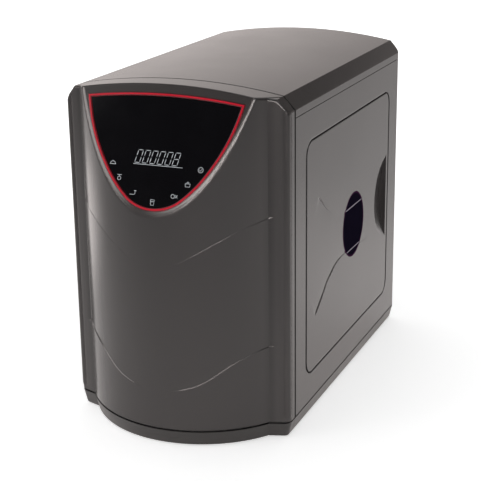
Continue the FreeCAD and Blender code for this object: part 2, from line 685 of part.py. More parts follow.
def power_inlet():
    """The mains inlet: flange on the back panel, body through it, and the hollow for the plug."""
    x0, x1, z0, z1 = inlet_window()
    y1 = y_back - WALL
    flange = box(x0 - 9, x1 + 9, y1, y1 + 2.2, z0 - 3, z1 + 3)
    body = box(x0 + 0.3, x1 - 0.3, y1 - INLET_DEPTH, y1 + 1, z0 + 0.3, z1 - 0.3)
    hollow = box(x0 + 2.5, x1 - 2.5, y1 - 16, y1 + 3, z0 + 3.5, z1 - 3.5)
    middle, z = (x0 + x1) / 2, (z0 + z1) / 2
    blades = [box(middle + dx - 1, middle + dx + 1, y1 - 17, y1 - 4, z - 2, z + 2) for dx in (-7, 0, 7)]
    return join([flange.fuse(body).cut(hollow)] + blades)


def port_places():
    middle = (recess[0] + recess[1]) / 2
    return [middle + PORT_PITCH * (i - 1.5) for i in range(4)]


def port(x, way):
    """A bulkhead connector: flange and nose in the bay, nut inside, and an elbow whose stem points way."""
    flange = hexagon(11.0, (x, bay_floor, PORT_HEIGHT), 5.0)
    nose = rod(8.0, (x, bay_floor + 5.0, PORT_HEIGHT), BACK, 13.0)
    thread = rod(7.0, (x, bay_floor - 12.0, PORT_HEIGHT), BACK, 12.0)
    nut = hexagon(10.5, (x, bay_floor - BACK_SHEET - 5.0, PORT_HEIGHT), 5.0)
    knee = rod(6.0, (x, elbow_y - 6.0, PORT_HEIGHT), BACK, 12.0)
    stem = rod(5.5, (x, elbow_y, PORT_HEIGHT), V(0, 0, way), ELBOW_STEM)
    solid = join([flange, nose, thread, nut, knee, stem])
    end = bay_floor + 18.0
    solid = solid.cut(rod(TUBE_RADIUS + 0.05, (x, end - PORT_BORE_DEPTH, PORT_HEIGHT), BACK, PORT_BORE_DEPTH + 1))
    solid = solid.cut(rod(5.2, (x, end - 2.0, PORT_HEIGHT), BACK, 3.0))
    solid = solid.cut(rod(TUBE_BORE, (x, elbow_y, PORT_HEIGHT), BACK, 40.0))
    return solid.cut(rod(TUBE_BORE, (x, elbow_y, PORT_HEIGHT), V(0, 0, way), ELBOW_STEM + 1))


def tank_tee():
    """The block that joins the tank's and the tap's elbows, with one stem on top."""
    tank, tap = port_places()[1:3]
    low = PORT_HEIGHT + ELBOW_STEM
    block = box(tank - 8, tap + 8, elbow_y - 8, elbow_y + 8, low, low + 14)
    stem = rod(5.5, (tap, elbow_y, low + 14), UP, 8)
    return join([block, stem]).cut(rod(TUBE_BORE, (tap, elbow_y, low + 10), UP, 20))


def hexagon(flat, start, length):
    """A hexagon bar along Y, by its half width across flats."""
    x, y, z = start
    corner = flat / math.cos(math.pi / 6)
    points = [(x + corner * math.cos(math.pi / 3 * i), y, z + corner * math.sin(math.pi / 3 * i)) for i in range(6)]
    return Part.Face(polygon(points)).extrude(V(0, length, 0))


def port_collets():
    """The push-in release rings in the mouths of the four connectors."""
    end = bay_floor + 18.0
    rings = []
    for x in port_places():
        stem = tube(4.9, TUBE_RADIUS + 0.05, (x, end - 1.9, PORT_HEIGHT), BACK, 3.0)
        head = tube(6.6, TUBE_RADIUS + 0.05, (x, end + 0.4, PORT_HEIGHT), BACK, 1.6)
        rings.append(stem.fuse(head))
    return Part.makeCompound(rings)


def partition():
    """The steel sheet that carries the works: foot flange, top flange and tube holes."""
    y0, y1 = along(14), y_back - WALL - BACK_SHEET - RECESS_DEPTH - 8
    top = z_flange - 12
    sheet = box(partition_x, partition_x + SHEET, y0, y1, z_floor, top)
    foot = box(partition_x - 20, partition_x + SHEET, y0, y1, z_floor, z_floor + SHEET)
    head = box(partition_x, partition_x + 14, y0, y1, top - SHEET, top)
    plate = join([sheet, foot, head])
    pump_y = along(PUMP_PLACE[1]) - HEAD_LENGTH + 20
    for y, z in ((pump_y, HEAD_LINE), (elbow_y, HEAD_LINE), (along(170), 60), (along(170), 270)):
        plate = plate.cut(rod(9.0, (partition_x - 1, y, z), RIGHT, SHEET + 2))
    return plate


def cartridge_places():
    return [along(cartridge_first + cartridge_pitch * i) for i in range(3)]


def filter_manifold():
    """The moulded head that the cartridges hang in: three bayonet sockets and cross passages."""
    z0 = CARTRIDGE_TOP + 1.0
    z1 = z0 + MANIFOLD_HEIGHT
    places = cartridge_places()
    reach = NECK_RADIUS + 8
    beam = box(partition_x + SHEET, filter_x + reach / 2, places[0] - reach, places[-1] + reach, z0 + 8, z1)
    cups = [rod(reach, (filter_x, y, z0), UP, MANIFOLD_HEIGHT) for y in places]
    stubs = [rod(6.0, (head_line_x, places[0] - reach - 6, HEAD_LINE), BACK, 8),
             rod(6.0, (head_line_x, places[-1] + reach - 2, HEAD_LINE), BACK, 8)]
    head = join([beam] + cups + stubs)
    bore = NECK_RADIUS + SOCKET_CLEARANCE
    groove = NECK_RADIUS + LUG_REACH + SOCKET_CLEARANCE
    for y in places:
        head = head.cut(rod(bore, (filter_x, y, z0 - 1), UP, NECK_LENGTH + 2))
        head = head.cut(rod(groove, (filter_x, y, z0 + 6), UP, 5.0))
        for side in (-1, 1):
            entry = box(-7, 7, 0, groove, z0 - 1, z0 + 7)
            entry.rotate(V(0, 0, 0), UP, 90 - 90 * side)
            entry.translate(V(filter_x, y, 0))
            head = head.cut(entry)
    return head


def cartridge(y):
    """A quarter-turn cartridge: domed body, shoulder, grip flutes, neck and two bayonet lugs."""
    r, low, top = CARTRIDGE_RADIUS, CARTRIDGE_BOTTOM, CARTRIDGE_TOP
    dome = 12.0
    outline = [
        Part.LineSegment(V(0, 0, low), V(r - dome, 0, low)).toShape(),
        Part.Arc(V(r - dome, 0, low), V(r - dome * 0.293, 0, low + dome * 0.293),
                 V(r, 0, low + dome)).toShape(),
        Part.LineSegment(V(r, 0, low + dome), V(r, 0, top - 26)).toShape(),
        Part.LineSegment(V(r, 0, top - 26), V(r - 3, 0, top - 22)).toShape(),
        Part.LineSegment(V(r - 3, 0, top - 22), V(r - 3, 0, top - 8)).toShape(),
        Part.Arc(V(r - 3, 0, top - 8), V(r - 5.4, 0, top - 2.4), V(r - 11, 0, top)).toShape(),
        Part.LineSegment(V(r - 11, 0, top), V(NECK_RADIUS, 0, top)).toShape(),
        Part.LineSegment(V(NECK_RADIUS, 0, top), V(NECK_RADIUS, 0, top + NECK_LENGTH)).toShape(),
        Part.LineSegment(V(NECK_RADIUS, 0, top + NECK_LENGTH), V(0, 0, top + NECK_LENGTH)).toShape(),
        Part.LineSegment(V(0, 0, top + NECK_LENGTH), V(0, 0, low)).toShape(),
    ]
    body = face_of(outline).revolve(V(0, 0, 0), UP, 360)
    for i in range(12):
        flute = rod(4.5, (r + 2.6, 0, low + dome), UP, 44)
        flute.rotate(V(0, 0, 0), UP, 30 * i)
        body = body.cut(flute)
    for side in (-1, 1):
        lug = box(side * (NECK_RADIUS + LUG_REACH / 2 - 1) - LUG_REACH / 2 - 1,
                  side * (NECK_RADIUS + LUG_REACH / 2 - 1) + LUG_REACH / 2 + 1, -5, 5, top + 7.4, top + 11.4)
        lug = lug.common(rod(NECK_RADIUS + LUG_REACH, (0, 0, top), UP, NECK_LENGTH))
        body = body.fuse(lug)
    body = body.cut(rod(5.0, (0, 0, top + 4), UP, NECK_LENGTH))
    body.translate(V(filter_x, y, 0))
    return body


def membrane_housing():
    """The membrane's pressure tube, upright, with its ribbed foot and lower outlet stubs."""
    x, y = left_bay(MEMBRANE_PLACE)
    body = rod(MEMBRANE_RADIUS, (x, y, 44), UP, 240)
    foot = Part.makeCone(MEMBRANE_RADIUS - 10, MEMBRANE_RADIUS, 14, V(x, y, 30))
    collar = rod(MEMBRANE_RADIUS + 4, (x, y, 272), UP, 14)
    outlet = rod(6.0, (x, y - MEMBRANE_RADIUS - 10, LINK_HEIGHT), BACK, MEMBRANE_RADIUS)
    drain = rod(6.0, (port_places()[0], y, LINK_HEIGHT + 6), BACK, MEMBRANE_RADIUS - 2)
    return join([body, foot, collar, outlet, drain])


def membrane_cap():
    """The screwed cap with its grip ribs and the feed stub."""
    x, y = left_bay(MEMBRANE_PLACE)
    cap = rod(MEMBRANE_RADIUS + 5, (x, y, 286.2), UP, 30)
    for i in range(18):
        rib = box(MEMBRANE_RADIUS + 4, MEMBRANE_RADIUS + 7, -1.5, 1.5, 289, 314)
        rib.rotate(V(0, 0, 0), UP, 20 * i)
        rib.translate(V(x, y, 0))
        cap = cap.fuse(rib)
    dome = Part.makeCone(MEMBRANE_RADIUS, MEMBRANE_RADIUS - 14, 8, V(x, y, 316.2))
    riser = rod(6.0, (x, y, 322), UP, MEMBRANE_ELBOW - 322 + 5)
    elbow = rod(5.5, (x, y - 24, MEMBRANE_ELBOW), BACK, 24)
    return join([cap, dome, riser, elbow])


def clips(radius, place, heights):
    """Spring clips on the partition: a C that grips the housing, and a web back to the sheet."""
    x, y = left_bay(place)
    rings = []
    for z in heights:
        ring = tube(radius + CLIP_WALL, radius + CLIP_GAP, (x, y, z), UP, 16)
        mouth = box(x - radius - CLIP_WALL - 1, x - radius * 0.5, y - radius * 0.8, y + radius * 0.8, z - 1, z + 17)
        web = box(x + radius + CLIP_WALL / 2, partition_x, y - 12, y + 12, z, z + 16)
        rings.append(join([ring.cut(mouth), web]))
    return Part.makeCompound(rings)


def inline_filter():
    x, y = left_bay(INLINE_PLACE)
    body = rod(INLINE_RADIUS, (x, y, 70), UP, 210)
    ends = [Part.makeCone(8, INLINE_RADIUS, 10, V(x, y, 60)), Part.makeCone(INLINE_RADIUS, 8, 10, V(x, y, 280))]
    bands = [rod(INLINE_RADIUS + 1.5, (x, y, z), UP, 6) for z in (84, 260)]
    stubs = [rod(6.0, (x, y, LINK_HEIGHT - 4), UP, 24), rod(5.5, (x, y, LINK_HEIGHT), BACK, 14),
             rod(6.0, (x, y, 288), UP, 16)]
    return join([body] + ends + bands + stubs)


def pump_motor():
    x, y = left_bay(PUMP_PLACE)
    can = rod(MOTOR_RADIUS, (x, y, PUMP_AXIS), BACK, MOTOR_LENGTH)
    rear = y + MOTOR_LENGTH
    cap = Part.makeCone(MOTOR_RADIUS, MOTOR_RADIUS - 6, 6, V(x, rear, PUMP_AXIS), BACK)
    boss = rod(9.0, (x, rear + 6, PUMP_AXIS), BACK, 5)
    bands = [tube(MOTOR_RADIUS + 1.2, MOTOR_RADIUS - 1, (x, y + dy, PUMP_AXIS), BACK, 5) for dy in (4, 82)]
    return join([can, cap, boss] + bands)


def pump_head():
    """The three-chamber diaphragm head, with two elbow stubs on top and its clamping screws."""
    x, y = left_bay(PUMP_PLACE)
    front = y - HEAD_LENGTH
    back_disc = rod(HEAD_RADIUS, (x, y - 24, PUMP_AXIS), BACK, 24)
    lobes = []
    for i in range(3):
        turn = math.radians(90 + 120 * i)
        lobe = rod(21.0, (x + 22 * math.cos(turn), front + 6, PUMP_AXIS + 22 * math.sin(turn)), BACK, 30)
        lobes.append(lobe)
    cover = rod(30.0, (x, front, PUMP_AXIS), BACK, 12)
    stubs = [rod(7.0, (x + dx, front + 20, PUMP_AXIS + 30), UP, 24) for dx in (-15, 15)]
    return join([back_disc, cover] + lobes + stubs)


def pump_bracket():
    """The bent steel cradle under the motor: floor plate on rubber mounts and two saddles."""
    x, y = left_bay(PUMP_PLACE)
    low = z_floor + 10.0
    plate = box(x - 36, x + 36, y + 2, y + MOTOR_LENGTH - 4, low, low + 2)
    saddles = []
    for dy in (14, 66):
        saddle = box(x - 28, x + 28, y + dy, y + dy + 8, low, PUMP_AXIS - 12)
        saddles.append(saddle.cut(rod(MOTOR_RADIUS + CLIP_GAP, (x, y, PUMP_AXIS), BACK, MOTOR_LENGTH)))
    return join([plate] + saddles)


def pump_mounts():
    """Four rubber mounts between the pump's plate and the tray."""
    x, y = left_bay(PUMP_PLACE)
    mounts = []
    for dx in (-29, 29):
        for dy in (10, MOTOR_LENGTH - 12):
            lower = Part.makeCone(7, 5, 5, V(x + dx, y + dy, z_floor))
            upper = Part.makeCone(5, 7, 5, V(x + dx, y + dy, z_floor + 5))
            mounts.append(lower.fuse(upper))
    return Part.makeCompound(mounts)


def power_supply():
    """The transformer block on the partition, with its flange and cooling ribs."""
    y, z = along(40), 220
    x1 = partition_x
    flange = box(x1 - 3, x1, y - 10, y + 110, z, z + 72)
    body = box(x1 - 52, x1 - 3, y, y + 100, z + 2, z + 70)
    ribs = [box(x1 - 55, x1 - 51, y + 8 + 12 * i, y + 12 + 12 * i, z + 8, z + 64) for i in range(8)]
    return join([flange, body] + ribs)


def solenoid_valve():
    """The inlet valve, upright above the raw water elbow: body, stems, coil and its foot."""
    x, y, z = port_places()[3], elbow_y, VALVE_HEIGHT
    body = box(x - 10, x + 10, y - 11, y + 11, z - 12, z + 12)
    stems = rod(6.0, (x, y, z - 26), UP, 52)
    coil = rod(12.0, (x, y - 34, z), BACK, 24)
    cap = rod(6.0, (x, y - 38, z), BACK, 5)
    foot = box(x + 8, partition_x, y - 6, y + 5, z - 8, z + 8)
    return join([body, stems, coil, cap, foot])


def pressure_switch(x):
    """A diaphragm pressure switch on an upright tee, facing forwards."""
    y, z = elbow_y, SWITCH_HEIGHT
    tee = rod(6.0, (x, y, z - SWITCH_REACH), UP, 2 * SWITCH_REACH)
    neck = rod(5.0, (x, y - 10, z), BACK, 10)
    disc = rod(12.0, (x, y - 20, z), BACK, 11)
    tabs = [box(x - 1 + dx, x + 1 + dx, y - 27, y - 19, z - 3, z + 3) for dx in (-4, 4)]
    return join([tee, neck, disc] + tabs)


def flow_restrictor():
    """The drain's restrictor, between the membrane housing and the drain tube."""
    start = (port_places()[0], along(MEMBRANE_PLACE[1]) + MEMBRANE_RADIUS - 2, LINK_HEIGHT + 6)
    return join([rod(7.0, start, BACK, 16), rod(5.0, start, BACK, RESTRICTOR_LENGTH)])


def rounded_path(points, radius):
    """A wire of straight runs joined by tangent arcs."""
    points = [V(*p) for p in points]
    edges = []
    start = points[0]
    for before, corner, after in zip(points, points[1:], points[2:]):
        to_before = (before - corner).normalize()
        to_after = (after - corner).normalize()
        turn = math.pi - to_before.getAngle(to_after)
        cut = radius * math.tan(turn / 2)
        p, q = corner + to_before * cut, corner + to_after * cut
        inward = (to_before + to_after).normalize()
        middle = corner + inward * (math.hypot(radius, cut) - radius)
        edges.append(Part.LineSegment(start, p).toShape())
        edges.append(Part.Arc(p, middle, q).toShape())
        start = q
    edges.append(Part.LineSegment(start, points[-1]).toShape())
    return Part.Wire(edges)


def hose(points, radius=BEND_RADIUS):
    """A water tube along a rounded route, or straight between two points."""
    path = rounded_path(points, radius)
    way = (V(*points[1]) - V(*points[0])).normalize()
    ring = Part.Wire(Part.makeCircle(TUBE_RADIUS, V(*points[0]), way))
    return path.makePipeShell([ring], True, False)


def raw_water_tubes():
    """From the feed elbow through the valve and the low-pressure switch to the filters and the pump."""
    x = port_places()[3]
    places = cartridge_places()
    reach = NECK_RADIUS + 8
    px, py = partition_x - PUMP_PLACE[0] + 15, along(PUMP_PLACE[1]) - HEAD_LENGTH + 20
    return Part.makeCompound([
        hose([(x, elbow_y, PORT_HEIGHT + ELBOW_STEM), (x, elbow_y, VALVE_HEIGHT - 26)]),
        hose([(x, elbow_y, VALVE_HEIGHT + 26), (x, elbow_y, SWITCH_HEIGHT - SWITCH_REACH)]),
        hose([(x, elbow_y, SWITCH_HEIGHT + SWITCH_REACH), (x, elbow_y, HEAD_LINE),
              (head_line_x, elbow_y, HEAD_LINE), (head_line_x, places[-1] + reach + 6, HEAD_LINE)], 10.0),
        hose([(head_line_x, places[0] - reach - 6, HEAD_LINE), (head_line_x, py, HEAD_LINE),
              (px, py, HEAD_LINE), (px, py, PUMP_AXIS + 54)], 10.0),
    ])


def pressure_tube():
    """From the pump's outlet up and back to the membrane cap's elbow."""
    px, py = partition_x - PUMP_PLACE[0] - 15, along(PUMP_PLACE[1]) - HEAD_LENGTH + 20
    mx, my = left_bay(MEMBRANE_PLACE)
    return hose([(px, py, PUMP_AXIS + 54), (px, py, MEMBRANE_ELBOW), (mx, py + 84, MEMBRANE_ELBOW),
                 (mx, my - 24, MEMBRANE_ELBOW)])


def product_tubes():
    """From the membrane's foot through the inline filter and the switch to the tank and tap."""
    ix, iy = left_bay(INLINE_PLACE)
    x = port_places()[2]
    outlet = along(MEMBRANE_PLACE[1]) - MEMBRANE_RADIUS - 10
    return Part.makeCompound([
        hose([(ix, iy + 14, LINK_HEIGHT), (ix, outlet, LINK_HEIGHT)]),
        hose([(ix, iy, 304), (ix, iy, PRODUCT_LINE), (x, iy, PRODUCT_LINE), (x, elbow_y, PRODUCT_LINE),
              (x, elbow_y, SWITCH_HEIGHT + SWITCH_REACH)]),
        hose([(x, elbow_y, SWITCH_HEIGHT - SWITCH_REACH), (x, elbow_y, PORT_HEIGHT + ELBOW_STEM + 22)]),
    ])


def drain_tube():
    """From the flow restrictor down behind the membrane and up into the drain's elbow."""
    x, z = port_places()[0], LINK_HEIGHT + 6
    start = along(MEMBRANE_PLACE[1]) + MEMBRANE_RADIUS - 2 + RESTRICTOR_LENGTH
    return hose([(x, start, z), (x, elbow_y, z), (x, elbow_y, PORT_HEIGHT - ELBOW_STEM)], 9.0)


def build():
    right = {
        "side_panel": side_panel(),
        "hinge_arms": hinge_arms(),
        "hinge_pins": hinge_pins(),
        "strikes": strikes(),
        "magnets": magnets(),
    }
    parts = {
        "base_tray": base_tray(),
        "feet": feet(),
        "front_cover": front_cover(),
        "display_trim": display_trim(),
        "display_panel": display_panel(),
        "control_board": control_board(),
        "top_lid": top_lid(),
        "right_door": door(True),
        "left_door": mirrored(door(False)),
        "door_badge": door_badge(),
        "back_panel": back_panel(),
        "power_inlet": power_inlet(),
        "port_collets": port_collets(),
        "tank_tee": tank_tee(),
        "partition": partition(),
        "filter_manifold": filter_manifold(),
        "membrane_housing": membrane_housing(),
        "membrane_cap": membrane_cap(),
        "membrane_clips": clips(MEMBRANE_RADIUS, MEMBRANE_PLACE, (90, 220)),
        "inline_filter": inline_filter(),
        "inline_clips": clips(INLINE_RADIUS, INLINE_PLACE, (110, 220)),
        "pump_motor": pump_motor(),
        "pump_head": pump_head(),
        "pump_bracket": pump_bracket(),
        "pump_mounts": pump_mounts(),
        "power_supply": power_supply(),
        "solenoid_valve": solenoid_valve(),
        "low_pressure_switch": pressure_switch(port_places()[3]),
        "high_pressure_switch": pressure_switch(port_places()[2]),
        "flow_restrictor": flow_restrictor(),
        "raw_water_tubes": raw_water_tubes(),
        "pressure_tube": pressure_tube(),
        "product_tubes": product_tubes(),
        "drain_tube": drain_tube(),
    }
    for name, shape in right.items():
        parts["right_" + name] = shape
        parts["left_" + name] = mirrored(shape)
    for name, y in zip(("sediment", "carbon", "fine"), cartridge_places()):
        parts[name + "_cartridge"] = cartridge(y)
    ways = {"drain": -1, "tank": 1, "tap": 1, "feed": 1}
    for (name, way), x in zip(ways.items(), port_places()):
        parts[name + "_port"] = port(x, way)
    return parts


os.makedirs("parts", exist_ok=True)
for node, shape in build().items():
    shape.exportStep(os.path.join("parts", node + ".step"))
    print(node, len(shape.Solids), round(shape.Volume), shape.isValid())
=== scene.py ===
# %% [markdown]
# # A box-type water purifier
# The CAD model is the fixed frame: every solid already has its true size and place. This file gives it
# its looks. Each cell makes one piece or one finish, and the notes say what the piece is on the real
# object, how it could be made, and why this way was chosen. All lengths are in metres.

# %% Load the frame
import json
import math
from contextlib import contextmanager

import bmesh
import bpy
import numpy as np
from mathutils import Matrix, Vector
from mathutils.geometry import delaunay_2d_cdt


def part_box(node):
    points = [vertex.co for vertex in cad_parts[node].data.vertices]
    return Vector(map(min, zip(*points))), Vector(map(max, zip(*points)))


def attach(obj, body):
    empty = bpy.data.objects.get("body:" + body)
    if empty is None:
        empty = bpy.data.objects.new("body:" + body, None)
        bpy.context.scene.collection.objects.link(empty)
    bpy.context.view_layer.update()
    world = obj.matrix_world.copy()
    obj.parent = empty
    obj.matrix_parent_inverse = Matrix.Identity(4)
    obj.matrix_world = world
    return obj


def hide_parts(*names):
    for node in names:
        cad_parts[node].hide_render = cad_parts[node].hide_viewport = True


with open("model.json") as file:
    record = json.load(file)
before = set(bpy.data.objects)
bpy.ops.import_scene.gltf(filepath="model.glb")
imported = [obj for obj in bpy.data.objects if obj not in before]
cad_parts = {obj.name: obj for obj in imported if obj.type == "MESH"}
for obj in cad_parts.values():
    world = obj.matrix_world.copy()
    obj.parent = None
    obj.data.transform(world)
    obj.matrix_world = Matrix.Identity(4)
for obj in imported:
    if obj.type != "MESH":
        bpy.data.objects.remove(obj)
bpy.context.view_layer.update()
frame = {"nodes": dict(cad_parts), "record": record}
MM = 0.001
nodes = frame["nodes"]
bodies = frame["record"]["behaviour"]["bodies"]
body_of = {node: body for body, members in bodies.items() for node in members}
slot_of = {part["node"]: part["material_slot"] for part in frame["record"]["subparts"]}

# %% [markdown]
# ## Camera
# The photograph was taken from the front right, a little above the lid. A camera can be placed by eye,
# or by measuring where known corners fall in the picture. The second way was used: the place, the
# direction and the focal length below put the case's corners on the photograph's corners.

# %% The photograph's camera
CAMERA_PLACE = Vector((0.586, -1.377, 0.644))
CAMERA_AZIMUTH, CAMERA_TILT, CAMERA_ROLL = 22.98, 17.72, -0.79
SENSOR = 36.0
PICTURE_SIDE = 481
FOCAL_PIXELS = 1283.0


def look_along(azimuth, tilt):
    a, t = math.radians(azimuth), math.radians(tilt)
    return Vector((-math.sin(a) * math.cos(t), math.cos(a) * math.cos(t), -math.sin(t)))


def new_object(name, data):
    thing = bpy.data.objects.new(name, data)
    bpy.context.scene.collection.objects.link(thing)
    return thing


lens = bpy.data.cameras.new("camera")
lens.sensor_width = SENSOR
lens.lens = FOCAL_PIXELS / PICTURE_SIDE * SENSOR
camera = new_object("camera", lens)
upright = look_along(CAMERA_AZIMUTH, CAMERA_TILT).to_track_quat("-Z", "Y").to_matrix().to_4x4()
roll = Matrix.Rotation(math.radians(CAMERA_ROLL), 4, "Z")
camera.matrix_world = Matrix.Translation(CAMERA_PLACE) @ upright @ roll
bpy.context.scene.camera = camera
print("lens", round(lens.lens, 1), "mm")

# %% [markdown]
# ## Shader sums
# A material's pattern is a sum of masks and noises. Wiring each Math node by hand hides the sum, so a
# small class wraps a socket and overloads the operators: `1 - mask * 0.5` then adds its own nodes.
# Every other node comes from one method, `add`, which sets its settings first and its sockets after.

# %% Shader helper
class Value:
    """A number that varies over a surface: an expression on it adds Math nodes."""

    def __init__(self, finish, socket):
        self.finish, self.socket = finish, socket

    def node(self, operation, *terms):
        return self.finish.add("ShaderNodeMath", {"operation": operation}, dict(enumerate(terms)))

    def math(self, operation, *terms): return self.node(operation, self, *terms)
    def __add__(self, other): return self.node("ADD", self, other)
    def __radd__(self, other): return self.node("ADD", other, self)
    def __sub__(self, other): return self.node("SUBTRACT", self, other)
    def __rsub__(self, other): return self.node("SUBTRACT", other, self)
    def __mul__(self, other): return self.node("MULTIPLY", self, other)
    def __rmul__(self, other): return self.node("MULTIPLY", other, self)
    def __abs__(self): return self.node("ABSOLUTE", self)

    def ramp(self, start, end):
        """Nought below start, one above end, smooth between them."""
        return self.finish.add("ShaderNodeMapRange", {"interpolation_type": "SMOOTHSTEP"},
                               {"Value": self, "From Min": start, "From Max": end})


class Finish:
    """One material. Its Principled shader takes constants by name, and patterns by link."""

    def __init__(self, name, **constants):
        self.material = bpy.data.materials.new(name)
        self.material.use_nodes = True
        self.tree = self.material.node_tree
        self.shader = self.tree.nodes["Principled BSDF"]
        self.set(**constants)

    def add(self, kind, settings=None, sockets=None, output=0):
        node = self.tree.nodes.new(kind)
        for key, setting in (settings or {}).items():
            setattr(node, key, setting)
        for key, value in (sockets or {}).items():
            self.feed(node.inputs[key], value)
        return Value(self, node.outputs[output])

    def feed(self, socket, value):
        """Links a pattern to the socket, or sets a constant on it."""
        if isinstance(value, Value):
            self.tree.links.new(value.socket, socket)
        else:
            socket.default_value = (*value, 1) if socket.type == "RGBA" else value

    def set(self, **constants):
        for key, value in constants.items():
            self.feed(self.shader.inputs[key.replace("_", " ")], value)

    def point(self):
        """The Object coordinates of the shaded point, in metres on the resting object."""
        return self.add("ShaderNodeTexCoord", output=3)

    def place(self):
        """The same point as three values."""
        x = self.add("ShaderNodeSeparateXYZ", sockets={0: self.point()})
        return x, Value(self, x.socket.node.outputs[1]), Value(self, x.socket.node.outputs[2])

    def noise(self, scale, detail=2.0):
        return self.add("ShaderNodeTexNoise", sockets={
            "Vector": self.point(), "Scale": scale, "Detail": detail, "Roughness": 0.5})

    def blend(self, factor, first, second):
        return self.add("ShaderNodeMix", {"data_type": "RGBA"}, {0: factor, 6: first, 7: second}, output=2)

    def bump(self, height, strength, distance):
        self.set(Normal=self.add("ShaderNodeBump", sockets={
            "Strength": strength, "Distance": distance, "Height": height}))


def distance(a, b):
    """The length of the flat vector (a, b)."""
    return (a * a + b * b).math("SQRT")


print("shader helper ready")

# %% [markdown]
# ## Floor
# The photograph is a product shot on a white sweep. A brighter lamp could burn the floor out to white,
# but it would wash out the object too. So Light Path tells the floor who looks at it. For the camera it
# lifts itself to white and keeps the soft shadow; in the gloss of the case it shows another ramp.

# %% Floor
FLOOR_SIDE = 14.0
FLOOR_WHITE = 0.92
FLOOR_LIFT = 0.61            # what the white sweep adds for the camera, near the object
FAR_LIFT = 0.5               # and further out, on top
MIRRORED_LIFT = 0.66         # the same for reflections, behind the object
MIRRORED_FADE = 0.25         # how much less it is far behind
PATCH = (-0.9, 0.2)          # a brighter patch at the left, for the sheen on the cover's left part
PATCH_LIFT = 1.1
WHITE = (1.0, 1.0, 1.0)
WARM = (1.0, 0.915, 0.885)   # the studio's tint in reflections


def rays(finish):
    """Masks that are one for a ray from the camera, and for one in a reflection or through glass."""
    outputs = finish.add("ShaderNodeLightPath").socket.node.outputs
    camera_ray, glossy, through = (Value(finish, outputs[name]) for name in
                                   ("Is Camera Ray", "Is Glossy Ray", "Is Transmission Ray"))
    return camera_ray, (glossy + through).ramp(0.0, 1.0)


floor_finish = Finish("floor", Base_Color=(FLOOR_WHITE,) * 3, Roughness=0.9, Specular_IOR_Level=0.1)
seen, mirrored = rays(floor_finish)
across_floor, depth_on_floor, _ = floor_finish.place()
far = distance(across_floor, depth_on_floor).ramp(0.35, 1.2)
from_patch = distance(across_floor - PATCH[0], depth_on_floor - PATCH[1])
behind = depth_on_floor.ramp(-1.2, 0.1) * (MIRRORED_LIFT - depth_on_floor.ramp(0.35, 1.0) * MIRRORED_FADE)
in_reflections = behind + (1 - from_patch.ramp(0.15, 0.55)) * PATCH_LIFT
floor_finish.set(Emission_Color=floor_finish.blend(mirrored, WHITE, WARM),
                 Emission_Strength=seen * (far * FAR_LIFT + FLOOR_LIFT) + mirrored * in_reflections)
floor_mesh = bpy.data.meshes.new("floor")
side = FLOOR_SIDE / 2
corners = [(-side, -side, 0), (side, -side, 0), (side, side, 0), (-side, side, 0)]
floor_mesh.from_pydata(corners, [], [(0, 1, 2, 3)])
floor_mesh.materials.append(floor_finish.material)
floor = new_object("floor", floor_mesh)
print("floor", FLOOR_SIDE, "m wide")

# %% [markdown]
# ## Studio
# A gloss object shows its room, so the room has to be made. A picture of a studio could surround it,
# but a few shapes say the same: a lit wall behind, a dark room ahead, and two narrow light boxes. They
# lie in the world's own tree as masks on the ray's direction, and only reflections see them. The soft
# light on the surfaces themselves comes from three area lamps and an even glow.

# %% World and lamps
WORLD_AMBIENT = 0.50
ROOM_DARK = 0.06             # the unlit room ahead of the object, in reflections
WALL_STRENGTH = 0.91
LOW_WALL_STRENGTH = 0.55     # the wall's foot, which lights the rear end of the lid's chamfer
STRIP_STRENGTH = 17.0        # a low light strip ahead of the object: upright faces reflect the floor
SIDE_BOX = Vector((-0.84, -0.53, 0.14)).normalized()   # below it, so both show in rounded edges only
SIDE_BOX_STRENGTH = 5.0
SWEEP = Vector((-0.62, 0.75, 0.22)).normalized()   # where the lit wall behind is brightest
UNLIT = Vector((0.75, 0.1, 0.65)).normalized()     # no wall stands up here, so the chamfer stays dark
LAMPS = {                    # place, aimed at, width, height, watts
    "lamp_above": ((0.1, 0.25, 1.55), (0, 0.05, 0.2), 1.5, 1.2, 6.4),
    "lamp_left": ((-1.1, -1.1, 0.9), (0, 0, 0.2), 0.7, 1.2, 3.0),
    "lamp_right": ((1.2, -1.15, 0.8), (0.1, 0, 0.2), 0.9, 1.2, 3.4),
}
world = bpy.data.worlds.new("studio")
bpy.context.scene.world = world
world.use_nodes = True


class Studio(Finish):
    """The world's own tree, with the same node method."""

    def __init__(self, world):
        self.tree = world.node_tree


studio = Studio(world)
background = world.node_tree.nodes["Background"]
seen, mirrored = rays(studio)
studio.feed(background.inputs["Color"], studio.blend(mirrored, WHITE, WARM))
direction = studio.add("ShaderNodeTexCoord")


def toward(way):
    """How far the ray goes along a way: one straight on, nought across it."""
    ends = {0: direction, 1: way}
    return studio.add("ShaderNodeVectorMath", {"operation": "DOT_PRODUCT"}, ends, output=1)


